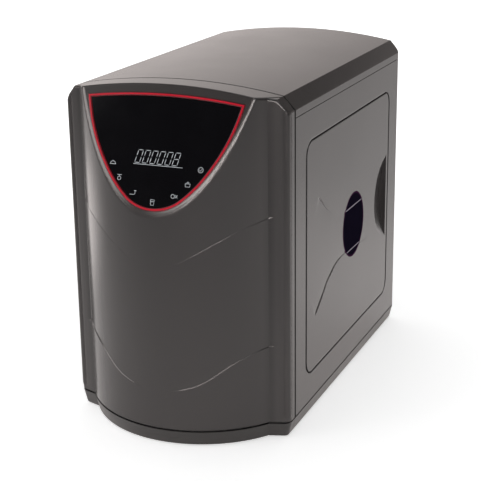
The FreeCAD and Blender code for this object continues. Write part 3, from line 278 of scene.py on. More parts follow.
up, across, ahead = [toward(Vector(way)) for way in ((0, 0, 1), (1, 0, 0), (0, -1, 0))]
strip = (up.ramp(-0.03, 0.06) * (1 - up.ramp(0.15, 0.25)) * ahead.ramp(0.2, 0.5)
         * across.ramp(-0.55, 0.15) * (1 - across.ramp(0.5, 0.75)))
low_wall = (up.ramp(0.0, 0.1) * (1 - up.ramp(0.20, 0.28)) * across.ramp(0.0, 0.15)
            * (1 - ahead.ramp(-0.5, 0.0)))
room = (toward(SWEEP).ramp(0.72, 1.0) * WALL_STRENGTH + ROOM_DARK + low_wall * LOW_WALL_STRENGTH
        + strip * STRIP_STRENGTH + toward(SIDE_BOX).ramp(0.93, 0.985) * SIDE_BOX_STRENGTH)
ambient = (1 - toward(UNLIT).ramp(0.3, 0.9)) * WORLD_AMBIENT
studio.feed(background.inputs["Strength"],
            seen + mirrored * room + (1 - seen) * (1 - mirrored) * ambient)
for name, (place, aim, width, height, watts) in LAMPS.items():
    lamp = bpy.data.lights.new(name, "AREA")
    lamp.shape, lamp.size, lamp.size_y, lamp.energy = "RECTANGLE", width, height, watts
    heading = Vector(aim) - Vector(place)
    turned_to = heading.to_track_quat("-Z", "Y").to_matrix().to_4x4()
    new_object(name, lamp).matrix_world = Matrix.Translation(place) @ turned_to
bpy.context.scene.view_settings.view_transform = "Standard"
print("lamps", list(LAMPS))

# %% [markdown]
# ## Seams and gaps
# Where two mouldings meet, each edge rolls over and the gap between them lies in shade. Both are finer than
# the mesh.
# They could be fillets, but masks on the place cost no triangles: one paints the gap's shade into the colour,
# and one is a height in metres, so a bump of strength one tilts the normal beside the gap as a fillet does.

# %% Gaps and rounded edges
SEAM_Y = -154.5 * MM         # where the cover meets the panels and the lid
DOOR_FRONT, DOOR_REAR, DOOR_LOW, DOOR_HIGH = SEAM_Y + 35 * MM, SEAM_Y + 345 * MM, 54 * MM, 325 * MM
DOOR_ROUND = 17.5 * MM
PLINTH_SEAM_Z = 19.6 * MM
# The dark line is painted shade, standing for the open gap and its rounded edges.
GAP_HALF = 1.0 * MM          # half the dark line that an open gap and its rounded edges make
ROLL_REACH = 2.4 * MM
SIDE_X = (126 * MM, 129 * MM)   # further out than this, a point is on a side face


def roll_over(depth, reach=ROLL_REACH, slope=0.8):
    """An edge's soft rounding as a height: full fall at depth nought, none from reach inwards."""
    left = 1 - (depth * (1 / reach)).math("MAXIMUM", 0.0).math("MINIMUM", 1.0)
    return left * left * (-slope * reach / 2)


def past_door(finish):
    """The distance outwards from the doors' rounded outline, and how far it counts as an upright edge."""
    _, y, z = finish.place()
    over = [abs(c - (low + high) / 2) - ((high - low) / 2 - DOOR_ROUND)
            for c, low, high in ((y, DOOR_FRONT, DOOR_REAR), (z, DOOR_LOW, DOOR_HIGH))]
    beyond = [c.math("MAXIMUM", 0.0) for c in over]
    inside = over[0].math("MAXIMUM", over[1]).math("MINIMUM", 0.0)
    return distance(*beyond) + inside - DOOR_ROUND, (over[0] - over[1]).ramp(-10 * MM, 10 * MM)


def on_side(finish):
    return abs(finish.place()[0]).ramp(*SIDE_X)


def painted_gap_shade(finish):
    """One in the painted shade lines along the cover's seams, the plinth's seam and round the doors; upright
    ones are wider.
    """
    side = on_side(finish)
    _, y, z = finish.place()
    seam = abs(y - SEAM_Y) * (0.85 - side * 0.38)
    foot = abs(z - PLINTH_SEAM_Z) * 0.6 + side * (GAP_HALF * 1.3)   # not on the sides
    past, upright = past_door(finish)
    door = abs(past) * (0.95 - upright * 0.52) + (1 - side)
    return 1 - seam.math("MINIMUM", door).math("MINIMUM", foot).ramp(GAP_HALF * 0.75, GAP_HALF * 1.25)


def case_rounding(finish):
    """The rounded edges of the panels and the lid along the cover's seam, and round the door openings."""
    return roll_over(finish.place()[1] - SEAM_Y) + roll_over(past_door(finish)[0]) * on_side(finish)


def door_rounding(finish):
    return roll_over(past_door(finish)[0] * -1.0)


print("door opening", round((DOOR_REAR - DOOR_FRONT) / MM), "x", round((DOOR_HIGH - DOOR_LOW) / MM), "mm")

# %% [markdown]
# ## Finishes
# The case is moulded plastic with a gloss, warm pewter finish. One flat colour would look like clay.
# The tone is even, so what makes it real is small: a fine flake, an orange-peel skin too shallow to
# see as bumps but enough to soften a reflection, and a slightly duller bloom in broad patches. Satin
# plastic and steel get one function each as well, because many pieces share them.

# %% Finishes
PEWTER = (0.060, 0.0535, 0.0525)
SHADED = (0.004, 0.004, 0.004)
PEEL_HEIGHT = 0.024 * MM
GRAIN_HEIGHT = 0.08 * MM     # on satin plastic; gloss parts and fine ones have less
GLOSS_GRAIN, TRIM_GRAIN, INK_GRAIN = 0.005 * MM, 0.01 * MM, 0.002 * MM
SPANGLE_HEIGHT = 0.05 * MM


def toned(colour, factor):
    return tuple(c * factor for c in colour)


def gloss_pewter(name, relief, tone=1.0, shade=None):
    """The gloss of the case, with the relief of its own moulding, and painted shade in its gaps and hollows.
    """
    finish = Finish(name, IOR=1.5)
    flake = finish.noise(2600.0, 1.0)
    bloom = finish.noise(9.0, 3.0)
    pewter = finish.blend(flake * 0.7 + bloom * 0.3, toned(PEWTER, tone * 0.90), toned(PEWTER, tone * 1.10))
    if shade:
        pewter = finish.blend(shade(finish), pewter, SHADED)
    # gap is the painted shade in the seams and door gaps; it also raises the roughness there.
    gap = painted_gap_shade(finish)
    finish.set(Base_Color=finish.blend(gap, pewter, SHADED),
               Roughness=(bloom * 0.10 + 0.16).math("MAXIMUM", gap * 0.8))
    finish.bump(finish.noise(420.0) * PEEL_HEIGHT + relief(finish), 1.0, 1.0)
    return finish.material


def moulded(name, colour, roughness, depth=GRAIN_HEIGHT, shade=None):
    """Satin plastic: spark-eroded grain from the mould, and a faint unevenness in tone."""
    finish = Finish(name, IOR=1.5)
    patch = finish.noise(30.0, 3.0)
    tone = finish.blend(patch, toned(colour, 0.95), toned(colour, 1.05))
    # Where shade is given, it is painted into the colour.
    finish.set(Base_Color=finish.blend(shade(finish), tone, SHADED) if shade else tone,
               Roughness=patch * 0.12 + (roughness - 0.06))
    finish.bump(finish.noise(1500.0), 0.5, depth)
    return finish.material


def metal(name, colour, roughness, grain=700.0):
    """Plated or ground steel: the zinc's spangle shows in tone and in gloss."""
    finish = Finish(name, Metallic=1.0)
    spangle = finish.add("ShaderNodeTexVoronoi", sockets={"Vector": finish.point(), "Scale": grain / 6})
    cloud = finish.noise(grain / 20, 3.0)
    finish.set(Base_Color=finish.blend(spangle * 0.5 + cloud * 0.5, toned(colour, 0.85), colour),
               Roughness=cloud * 0.2 + (roughness - 0.1))
    finish.bump(finish.noise(grain, 1.0), 0.2, SPANGLE_HEIGHT)
    return finish.material


SLOTS = {
    "case_shell": gloss_pewter("pewter_case", case_rounding),
    "door_shell": gloss_pewter("pewter_door", door_rounding, 1.03),
    # The plinth takes the same painted gap shade as the case, along its top seam.
    "plinth": moulded("plinth_satin", (0.045, 0.042, 0.041), 0.36, shade=painted_gap_shade),
    "display_black": moulded("display_acrylic", (0.0025, 0.0025, 0.004), 0.10, GLOSS_GRAIN),
    "red_trim": moulded("red_gloss", (0.78, 0.006, 0.03), 0.25, TRIM_GRAIN),
    "badge_black": moulded("badge_gloss", (0.006, 0.006, 0.012), 0.14, GLOSS_GRAIN),
    "black_rubber": moulded("rubber", (0.012, 0.012, 0.012), 0.75),
    "circuit_green": moulded("solder_mask", (0.01, 0.09, 0.035), 0.35),
    "white_plastic": moulded("white_satin", (0.72, 0.72, 0.70), 0.38),
    "filter_blue": moulded("blue_satin", (0.05, 0.16, 0.42), 0.38),
    "black_plastic": moulded("black_satin", (0.016, 0.016, 0.018), 0.42),
    "zinc_steel": metal("zinc_sheet", (0.62, 0.62, 0.62), 0.42),
    "polished_steel": metal("ground_steel", (0.70, 0.70, 0.70), 0.22),
    "white_tube": moulded("tube_white", (0.75, 0.76, 0.74), 0.3),
}
print(len(SLOTS), "finishes")

# %% [markdown]
# ## Curved mouldings
# A CAD solid arrives as loose triangles, each flat. Shaded like that, a gloss curve shows facets. The
# solid could be remeshed, but its corners lie on the true surface already, so a copy is merged, its
# real edges are kept sharp, and only its normals are set. A corner normal is the mean of the faces
# round it, and each face counts by the area of the whole flat that it belongs to. So a large flat
# stays dead flat right up to the small rounding at its edge, as on the moulded part.

# %% Merged copies and their normals
SAME_EDGE = math.cos(math.radians(32.0))   # faces that turn by less than this share a soft edge
SAME_FLAT = math.cos(math.radians(0.6))    # and by less than this, a flat


def reached(seed, left, alike, vertex=None):
    """Takes the faces that the seed reaches over edges, while they are alike, out of the set left."""
    left.remove(seed)
    found, stack = [], [seed]
    while stack:
        face = stack.pop()
        found.append(face)
        for edge in face.edges:
            if vertex is None or vertex in edge.verts:
                for other in edge.link_faces:
                    if other in left and alike(face, other):
                        left.remove(other)
                        stack.append(other)
    return found


def soft(face, other):
    return face.normal.dot(other.normal) > SAME_EDGE


def flats(work):
    """For each face, the area of the flat region that it lies in."""
    left, area = set(work.faces), {}
    for seed in work.faces:
        if seed in left:
            flat = reached(seed, left, lambda _, other: other.normal.dot(seed.normal) > SAME_FLAT)
            area.update(dict.fromkeys(flat, sum(face.calc_area() for face in flat)))
    return area


def softly_shaded(thing):
    """Sets the corner normals of the object's mesh and returns the object."""
    mesh = thing.data
    work = bmesh.new()
    work.from_mesh(mesh)
    work.normal_update()
    work.faces.index_update()
    area = flats(work)
    normals = [None] * len(mesh.loops)
    for vertex in work.verts:
        left = set(vertex.link_faces)
        while left:
            fan = reached(next(iter(left)), left, soft, vertex)
            total = sum((face.normal * area[face] for face in fan), Vector()).normalized()
            for loop in vertex.link_loops:
                if loop.face in fan:
                    normals[loop.index] = total
    work.free()
    mesh.shade_smooth()
    mesh.normals_split_custom_set(normals)
    return thing


SAME_POINT = 0.001 * MM
SEAM_RELIEF = 0.8 * MM       # by how much a rounded edge draws back from its seam
RELIEF_REACH = 7.0 * MM
DRAWN_BACK = ("right_side_panel", "left_side_panel", "top_lid", "right_door", "left_door")


@contextmanager
def opened(mesh):
    """Opens a mesh for work on its vertices and faces, and writes it back."""
    work = bmesh.new()
    work.from_mesh(mesh)
    yield work
    work.to_mesh(mesh)
    work.free()


def merged_copy(node):
    mesh = nodes[node].data.copy()
    with opened(mesh) as work:
        bmesh.ops.remove_doubles(work, verts=work.verts, dist=SAME_POINT)
        if node in DRAWN_BACK:
            front = min(v.co.y for v in work.verts)
            for vertex in work.verts:
                near = max(0.0, 1 - (vertex.co.y - front) / RELIEF_REACH)   # one at the seam
                vertex.co.y += SEAM_RELIEF * near * near
    return mesh


def moulding(name, mesh, node, material=None):
    """A shaded piece that rides on its node's body, stands for the node and takes its finish."""
    thing = softly_shaded(new_object(name, mesh))
    thing.data.materials.clear()
    thing.data.materials.append(material or SLOTS[slot_of[node]])
    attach(thing, body_of[node])
    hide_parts(node)
    return thing


print("drawn back at the seam:", *DRAWN_BACK)

# %% [markdown]
# ## Large skins with soft folds
# The front cover and the doors carry shallow folds that fade out, like the folds pressed into a car
# door. A texture bump would do for a render, but the shape belongs in the mesh. So the skin is cut out
# of the merged copy, laid flat, filled with a fine net of triangles that has edges along the folds,
# lifted by the folds' height, and laid back into the same rim. Only the skin changes: walls, rims and
# the inside stay as the CAD model has them.

# %% Filling a flat outline
NET = 2.6 * MM               # spacing of the net
NEAR_RIM = 0.9 * MM          # no net point is nearer to the rim or to a fold than this
ON_SKIN = 0.02 * MM


def rims(faces):
    """The closed loops of vertices round a set of faces."""
    chosen, follow = set(faces), {}
    for face in chosen:
        for loop in face.loops:
            if any(other not in chosen for other in loop.edge.link_faces):
                follow.setdefault(loop.vert, []).append(loop.link_loop_next.vert)
    found = []
    while follow:
        start = next(iter(follow))
        chain, at = [], start
        while at in follow:
            chain.append(at)
            ways = follow[at]
            step = ways.pop()
            if not ways:
                del follow[at]
            at = step
        found.append(chain)
    return found


def inside(points, loops):
    """Which flat points lie inside the loops, by the even-odd rule."""
    x, y = points[:, 0], points[:, 1]
    odd = np.zeros(len(points), bool)
    for loop in loops:
        for (x0, y0), (x1, y1) in zip(loop, np.roll(loop, -1, axis=0)):
            if y0 != y1:
                crosses = (y > min(y0, y1)) & (y <= max(y0, y1))
                odd ^= crosses & (x < x0 + (y - y0) * (x1 - x0) / (y1 - y0))
    return odd


def apart(points, others, gap):
    """Which points lie further than gap from all the others."""
    keep = np.ones(len(points), bool)
    for other in others:
        keep &= ((points - other) ** 2).sum(axis=1) > gap * gap
    return keep


def fill(loops, lines, grid):
    """Triangles that fill the flat loops, with edges along the lines and the grid's points inside."""
    rim = np.concatenate(loops)
    edges, start = [], 0
    for loop in loops:
        edges += [(start + i, start + (i + 1) % len(loop)) for i in range(len(loop))]
        start += len(loop)
    points = list(rim)
    for line in lines:
        line = np.array(line)
        good = inside(line, loops) & apart(line, rim, NEAR_RIM)
        for i, p in enumerate(line):
            if good[i]:
                if i and good[i - 1]:
                    edges.append((len(points) - 1, len(points)))
                points.append(p)
    grid = grid[inside(grid, loops)]
    grid = grid[apart(grid, points, NEAR_RIM)]
    points += list(grid)
    flat, _, triangles, origin, _, _ = delaunay_2d_cdt([Vector(p) for p in points], edges, [], 0, 1e-9)
    flat = np.array([tuple(p) for p in flat])
    middles = flat[np.array(triangles)].mean(axis=1)
    triangles = [t for t, good in zip(triangles, inside(middles, loops)) if good]
    return flat, triangles, [min(o) if o and min(o) < len(rim) else None for o in origin]


print("net of", NET / MM, "mm")


# %% Laying a skin flat and back
def reskin(mesh, is_skin, flatten, lift, lines, grid):
    """Replaces the skin faces of a mesh by a fine net that is lifted by the folds."""
    with opened(mesh) as work:
        work.normal_update()
        skin = [face for face in work.faces if is_skin(face)]
        loops = rims(skin)
        rim = [vertex for loop in loops for vertex in loop]
        flat_loops = [np.array([flatten(v.co) for v in loop]) for loop in loops]
        flat, triangles, origin = fill(flat_loops, lines, grid)
        bmesh.ops.delete(work, geom=skin, context="FACES_ONLY")
        made = [work.verts.new(lift(u, v)) if source is None else rim[source]
                for (u, v), source in zip(flat, origin)]
        for corners in triangles:
            work.faces.new([made[k] for k in corners])
        for parts, kind in ((work.verts, "VERTS"), (work.edges, "EDGES")):
            bmesh.ops.delete(work, geom=[part for part in parts if not part.link_faces], context=kind)
        bmesh.ops.recalc_face_normals(work, faces=work.faces)
        open_edges = sum(len(edge.link_faces) != 2 for edge in work.edges)
    print("skin:", len(loops), "rims", len(triangles), "triangles", open_edges, "open edges")
    return mesh


def on_skin(insets):
    """Whether a face lies on the outer surface, by how far inside it its corners are."""
    return max(insets) < ON_SKIN


print("skin helper ready")


# %% [markdown]
# ## Folds
# A fold is a smooth line through a few points. Its height is a small step from one side to the other,
# or a shallow groove with one shoulder that dies away, and its strength changes along the line.

# %% Fold lines
FOLD_STEP = 1.1 * MM         # a fold's width across
FOLD_POINT = 1.7 * MM        # spacing of the points along a fold
NEAR_FOLD = 4 * MM           # the CAD model's own creases lie within this of a fold
CURVE_STEPS = 40


def smooth_line(points):
    """Even points on a smooth curve through the given ones."""
    p = np.array(points, float)
    p = np.vstack([2 * p[0] - p[1], p, 2 * p[-1] - p[-2]])
    dense = []
    for a, b, c, d in zip(p, p[1:], p[2:], p[3:]):
        for t in np.linspace(0, 1, CURVE_STEPS, endpoint=False):
            dense.append(0.5 * (2 * b + (c - a) * t + (2 * a - 5 * b + 4 * c - d) * t * t
                                + (3 * b - a - 3 * c + d) * t ** 3))
    dense = np.array(dense + [p[-2]])
    run = np.concatenate([[0], np.cumsum(np.linalg.norm(np.diff(dense, axis=0), axis=1))])
    even = np.linspace(0, run[-1], max(2, int(run[-1] / FOLD_POINT)))
    return np.stack([np.interp(even, run, dense[:, k]) for k in (0, 1)], axis=1)


def beside(line, offset):
    """The line moved sideways, to the left of its way."""
    way = np.gradient(line, axis=0)
    way /= np.linalg.norm(way, axis=1)[:, None]
    return line + np.stack([-way[:, 1], way[:, 0]], axis=1) * offset


def fold_lines(line):
    return [beside(line, k * FOLD_STEP / 2) for k in (-1.0, -0.5, 0.0, 0.5, 1.0)]


def from_line(line, u, v):
    """How far the point (u, v) lies to the left of the line, and how far along it, from 0 to 1."""
    gaps = (line[:, 0] - u) ** 2 + (line[:, 1] - v) ** 2
    i = int(np.argmin(gaps))
    way = line[min(i + 1, len(line) - 1)] - line[max(i - 1, 0)]
    way = way / np.hypot(*way)
    ahead = (u - line[i][0]) * way[0] + (v - line[i][1]) * way[1]
    side = -(u - line[i][0]) * way[1] + (v - line[i][1]) * way[0]
    spacing = np.hypot(*(line[1] - line[0]))
    return side, (i + ahead / spacing) / (len(line) - 1)


def near_folds(folds, u, v):
    return min(abs(from_line(fold, u, v)[0]) for fold in folds) < NEAR_FOLD


def smoothstep(x, low, high):
    t = min(max((x - low) / (high - low), 0.0), 1.0)
    return t * t * (3 - 2 * t)


print("a fold is", FOLD_STEP / MM, "mm wide")


# %% [markdown]
# ## Front cover
# The cover is one moulding: a drum-like bulge between two short wings, cut by a tilted facet for the
# display. Two shield-shaped folds cross it: above each, the skin lies a little under a millimetre lower.
# At the middle the folds fade away. The plan of the skin is a rule (arc, wing, corner, side), so the
# skin can be unrolled along it and rolled back.

# %% Plan of the cover
HALF_WIDTH = 131.0 * MM
FRONT_Y = -234.5 * MM
DRUM_RADIUS = 134.0 * MM
WING_DEPTH = 16.0 * MM
WING_LEAN = math.radians(19.0)
CORNER_RADIUS = 9.0 * MM
FACET_LOW = 264 * MM
FACET_LEAN = math.radians(20.5)
ROLL_IN, ROLL_OUT = 3.4 * MM, 2.4 * MM   # how deep the edge's roll-over reaches into drum and facet


def straight(start, way, normal):
    return lambda s: (start + way * s, normal)


def arc(centre, radius, first_angle):
    def at(s):
        angle = first_angle + s / radius
        normal = Vector((math.cos(angle), math.sin(angle)))
        return centre + normal * radius, normal
    return at


def plan_of_half():
    """The right half of the cover's plan as runs: length, and a point and normal for a way along it."""
    wing_way = Vector((-math.cos(WING_LEAN), -math.sin(WING_LEAN)))
    corner = Vector((HALF_WIDTH, SEAM_Y - WING_DEPTH))
    reach = CORNER_RADIUS * math.tan((math.pi / 2 - WING_LEAN) / 2)
    wing_end = corner + wing_way * reach
    side_start = corner + Vector((0, reach))
    corner_centre = side_start - Vector((CORNER_RADIUS, 0))
    drum = Vector((0, FRONT_Y + DRUM_RADIUS))
    p = wing_end - drum
    b = p.dot(wing_way)
    root = math.sqrt(b * b - p.length_squared + DRUM_RADIUS ** 2)
    hip = wing_end + wing_way * min(-b - root, -b + root, key=abs)
    hip_angle = math.atan2(hip.x, -(hip.y - drum.y))
    turn = math.pi / 2 - WING_LEAN
    wing_normal = Vector((math.sin(WING_LEAN), -math.cos(WING_LEAN)))
    return [(DRUM_RADIUS * hip_angle, arc(drum, DRUM_RADIUS, -math.pi / 2)),
            ((wing_end - hip).length, straight(hip, -wing_way, wing_normal)),
            (CORNER_RADIUS * turn, arc(corner_centre, CORNER_RADIUS, -turn)),
            (SEAM_Y - side_start.y, straight(side_start, Vector((0, 1)), Vector((1, 0))))]


RUNS = plan_of_half()
RUN_STARTS = [sum(length for length, _ in RUNS[:i]) for i in range(len(RUNS) + 1)]
HIP, WING_END, CORNER_END, PLAN_END = RUN_STARTS[1:]   # how far along the plan each run ends


def on_plan(s):
    """The point and the outward normal of the cover's plan, s along it from the middle."""
    way = abs(s)
    i = max(k for k in range(len(RUNS)) if way >= RUN_STARTS[k] - 1e-12)
    point, normal = RUNS[i][1](way - RUN_STARTS[i])
    if s < 0:
        point, normal = Vector((-point.x, point.y)), Vector((-normal.x, normal.y))
    return point, normal


PLAN_STEPS = np.linspace(-PLAN_END, PLAN_END, 6001)
PLAN_POINTS = np.array([tuple(on_plan(s)[0]) for s in PLAN_STEPS])


def along_plan(x, y):
    """Where on the plan a point lies, and how far inside it."""
    gaps = (PLAN_POINTS[:, 0] - x) ** 2 + (PLAN_POINTS[:, 1] - y) ** 2
    s = PLAN_STEPS[int(np.argmin(gaps))]
    point, normal = on_plan(s)
    tangent = Vector((-normal.y, normal.x))
    s += (Vector((x, y)) - point).dot(tangent)
    s = min(max(s, -PLAN_END), PLAN_END)
    point, normal = on_plan(s)
    return s, (point - Vector((x, y))).dot(normal)


print("half plan", round(PLAN_END / MM, 1), "mm, hip at", round(HIP / MM, 1), "mm")

# %% Relief of the cover
LOWER_FOLD = [(0, 64.5), (27, 68), (50, 76), (80, 97), (100, 107), (114, 111)]
UPPER_FOLD = [(0, 205), (27, 212), (45, 222), (67, 235), (88, 247), (114, 257)]
CREASE_INSET = 0.55 * MM     # the CAD model's creases are less deep than this
BAND_DEPTH = 0.85 * MM       # how far the skin lies in just above the lower fold
STEP_DEPTH = 0.36 * MM       # and just above the upper one
STEP_REACH = 28 * MM
FADE_IN = (8 * MM, 42 * MM)  # from the middle, where the folds come up
TIGHT_RADIUS = 4.5 * MM
cover_low, cover_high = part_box("front_cover")


def unrolled(points):
    """A fold given by width and height, as a line on the unrolled skin, on both sides."""
    right = []
    for x, z in points:
        s = min(PLAN_STEPS[PLAN_STEPS >= 0], key=lambda t: abs(on_plan(t)[0].x - x * MM))
        right.append((s, z * MM))
    right[0] = (0.0, right[0][1])
    return smooth_line([(-s, z) for s, z in reversed(right[1:])] + right)


lower_fold, upper_fold = unrolled(LOWER_FOLD), unrolled(UPPER_FOLD)
fold_end = lower_fold[-1][0]


def cover_relief(s, z):
    """How far the skin lies in: most above each fold, fading upwards and towards middle and corners."""
    strength = smoothstep(abs(s), *FADE_IN) * (1 - smoothstep(abs(s), fold_end - 6 * MM, fold_end + 2 * MM))
    over_lower = from_line(lower_fold, s, z)[0]
    over_upper = from_line(upper_fold, s, z)[0]
    step = FOLD_STEP / 2
    up = smoothstep(over_lower, 0, max(over_lower - over_upper, MM))
    above_lower, above_upper = smoothstep(over_lower, -step, step), smoothstep(over_upper, -step, step)
    return -strength * (BAND_DEPTH * (1 - up) * above_lower * (1 - above_upper)
                        + STEP_DEPTH * above_upper * math.exp(-max(over_upper, 0) / STEP_REACH))


def crisper_corner(s, z):
    """How far the skin stands out at the wing's outer corner, so that its radius looks tighter."""
    half = (math.pi / 2 - WING_LEAN) / 2
    a = abs((abs(s) - (WING_END + CORNER_END) / 2) / CORNER_RADIUS)
    if a >= half:
        return 0.0
    centre = (CORNER_RADIUS - TIGHT_RADIUS) / math.cos(half)
    flat = CORNER_RADIUS / math.cos(half - a)
    spare = TIGHT_RADIUS ** 2 - (centre * math.sin(a)) ** 2
    out = min(flat, centre * math.cos(a) + math.sqrt(spare)) if spare > 0 else flat
    from_foot, from_top = z - cover_low.z, cover_high.z - z
    ends = smoothstep(from_foot, 0, 9 * MM) * smoothstep(from_top, 16 * MM, 26 * MM)
    return (out - CORNER_RADIUS) * ends


def lift_cover(s, z):
    point, normal = on_plan(s)
    out = point + normal * (cover_relief(s, z) + crisper_corner(s, z))
    return out.x, out.y, z


print("folds end", round(fold_end / MM, 1), "mm from the middle, corner drawn out by",
      round(crisper_corner((WING_END + CORNER_END) / 2, (cover_low.z + cover_high.z) / 2) / MM, 2), "mm")

# %% Cover skin
CORNER_NET = 1.2 * MM


def is_cover_skin(face):
    places = [along_plan(v.co.x, v.co.y) for v in face.verts]
    insets = [inset for _, inset in places]
    if min(insets) < -ON_SKIN or max(insets) > CREASE_INSET:
        return False
    if on_skin(insets) and abs(face.normal.z) < 0.01:
        return True
    middle = face.calc_center_median()
    s = along_plan(middle.x, middle.y)[0]
    return near_folds((lower_fold, upper_fold), s, middle.z) and abs(s) < fold_end + NEAR_FOLD


columns = [0.0]
for (length, _), start, spacing in zip(RUNS, RUN_STARTS, (NET, NET, CORNER_NET, NET)):
    count = max(1, round(length / spacing))
    columns += [start + length * (k + 1) / count for k in range(count)]
columns = sorted({round(c, 9) for c in columns} | {round(-c, 9) for c in columns})
rows = np.arange(cover_low.z + NET / 2, cover_high.z, NET)
net = np.array([(s, z) for s in columns for z in rows])


def facet_rounding(finish):
    """The soft roll-over along the facet's sides, as a height that falls off on both sides of the edge."""
    x, y, z = finish.place()
    in_drum = DRUM_RADIUS - distance(x, y - (FRONT_Y + DRUM_RADIUS))
    under_facet = (y - FRONT_Y) * math.cos(FACET_LEAN) - (z - FACET_LOW) * math.sin(FACET_LEAN)
    return roll_over(in_drum, ROLL_IN, 0.6) + roll_over(under_facet, ROLL_OUT, 0.5)


def hip_shade(finish):
    """The soft shadow that the cover's drum and wing throw into the hollow between them."""
    hollow = on_plan(HIP)[0].x + 1.5 * MM
    return (1 - abs(abs(finish.place()[0]) - hollow).ramp(0.0, 7.5 * MM)) * 0.34


hips = [[(sign * HIP, z) for z in np.arange(cover_low.z + NET, cover_high.z, NET)] for sign in (-1, 1)]
cover_mesh = reskin(merged_copy("front_cover"), is_cover_skin,
                    lambda co: (along_plan(co.x, co.y)[0], co.z), lift_cover,
                    fold_lines(lower_fold) + fold_lines(upper_fold) + hips, net)
moulding("cover_moulding", cover_mesh, "front_cover",
         gloss_pewter("pewter_cover", facet_rounding, shade=hip_shade))

# %% [markdown]
# ## Doors
# Each door is a flush plate with a D-shaped finger scoop. Two folds run in from its front edge and
# close on the badge like a funnel. They are crisp where they start and die away behind the badge. The
# left door is the right one's mirror, without a badge.

# %% Door skins
DOOR_UPPER_FOLD = [(75, 255), (113, 228), (165, 210.5), (239, 212)]
DOOR_LOWER_FOLD = [(63, 117), (90, 134), (114, 149), (160, 160), (268, 153)]
GROOVE_DEPTH = 0.42 * MM
GROOVE_HALF = 0.75 * MM
SHOULDER_DEPTH = 0.55 * MM
SHOULDER_REACH = 13 * MM


def on_door(points):
    return smooth_line([(SEAM_Y + y * MM, z * MM) for y, z in points])


upper_door_fold, lower_door_fold = on_door(DOOR_UPPER_FOLD), on_door(DOOR_LOWER_FOLD)


def fold_depth(line, u, v, low_side, strength):
    """A groove with one shoulder that dies away on the low side of the line."""
    side, t = from_line(line, u, v)
    ends = smoothstep(t, -0.005, 0.03) * (1 - smoothstep(t, 0.9, 1.0))
    step = smoothstep(side * low_side, -FOLD_STEP / 2, FOLD_STEP / 2)
    shoulder = math.exp(-abs(side) / SHOULDER_REACH) * step
    groove = math.exp(-(side / GROOVE_HALF) ** 2)
    return ends * strength(t) * (GROOVE_DEPTH * groove + SHOULDER_DEPTH * shoulder)


def door_relief(y, z):
    upper = fold_depth(upper_door_fold, y, z, -1, lambda t: 1 - 0.85 * smoothstep(t, 0.10, 0.35))
    lower = fold_depth(lower_door_fold, y, z, 1, lambda t: 1 - 0.7 * smoothstep(t, 0.35, 0.8))
    return -max(upper, lower)


def door_skin(node, sign):
    def is_skin(face):
        insets = [HALF_WIDTH - sign * v.co.x for v in face.verts]
        if on_skin(insets):
            return sign * face.normal.x > 0.99
        middle = face.calc_center_median()
        near = near_folds((upper_door_fold, lower_door_fold), middle.y, middle.z)
        return near and max(insets) < CREASE_INSET

    low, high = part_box(node)
    net = np.array([(y, z) for y in np.arange(low.y, high.y, NET) for z in np.arange(low.z, high.z, NET)])
    mesh = reskin(merged_copy(node), is_skin, lambda co: (co.y, co.z),
                  lambda y, z: (sign * (HALF_WIDTH + door_relief(y, z)), y, z),
                  fold_lines(upper_door_fold) + fold_lines(lower_door_fold), net)
    moulding(node + "_moulding", mesh, node)


door_skin("right_door", 1)
door_skin("left_door", -1)

# %% [markdown]
# ## Badge
# A round plate lies flush in the right door, dark and glossy, with a plum-coloured raised rim and two
# fine pale lines. It is a turned shape, so its half profile is spun round the axis; the pale lines are
# narrow bars that end on the rim. The middle stays bare.

# %% Badge
BADGE_CENTRE = Vector((HALF_WIDTH, SEAM_Y + 202 * MM, 187.5 * MM))
BADGE_RADIUS = 40 * MM
BADGE_THICKNESS = 1.5 * MM
BADGE_RIM = 1.7 * MM
BADGE_PROFILE = [(BADGE_RADIUS, -BADGE_THICKNESS), (BADGE_RADIUS, -0.1 * MM),
                 (BADGE_RADIUS - 0.25 * MM, 0.2 * MM), (BADGE_RADIUS - 0.8 * MM, 0.33 * MM),
                 (BADGE_RADIUS - 1.35 * MM, 0.2 * MM), (BADGE_RADIUS - BADGE_RIM, -0.05 * MM),
                 (BADGE_RADIUS / 2, -0.05 * MM)]
BADGE_DARK = ((0.010, 0.008, 0.018), (0.016, 0.012, 0.028))   # it clouds between the two
PLUM = (0.075, 0.022, 0.070)
BADGE_LINES = (23.5 * MM, -30 * MM)                           # their heights above its middle
LINE_WIDTH, LINE_THICKNESS = 0.95 * MM, 0.2 * MM


def turned(profile, centre, axis, segments=96):
    """A closed solid of revolution: the profile is given as (radius, height) from the outside in."""
    mesh = bpy.data.meshes.new("turned")
    turn = axis.to_track_quat("Z", "Y").to_matrix()
    angles = [2 * math.pi * k / segments for k in range(segments)]
    with opened(mesh) as work:
        rings = [[work.verts.new(centre + turn @ Vector((r * math.cos(a), r * math.sin(a), h)))
                  for a in angles] for r, h in profile]
        for near, far in zip(rings, rings[1:]):
            for k in range(segments):
                work.faces.new((near[k - 1], near[k], far[k], far[k - 1]))
        work.faces.new(rings[-1])
        work.faces.new(rings[0][::-1])
        bmesh.ops.recalc_face_normals(work, faces=work.faces)
    return mesh


def badge_finish():
    """Near-black inside, plum on the rim."""
    finish = Finish("badge_plate", Specular_IOR_Level=0.0, Roughness=0.3)
    _, y, z = finish.place()
    from_centre = distance(y - BADGE_CENTRE.y, z - BADGE_CENTRE.z)
    on_rim = from_centre.ramp(BADGE_RADIUS - BADGE_RIM * 1.5, BADGE_RADIUS - BADGE_RIM)
    dark = finish.blend(finish.noise(60.0), *BADGE_DARK)
    finish.set(Base_Color=finish.blend(on_rim, dark, PLUM))
    return finish.material


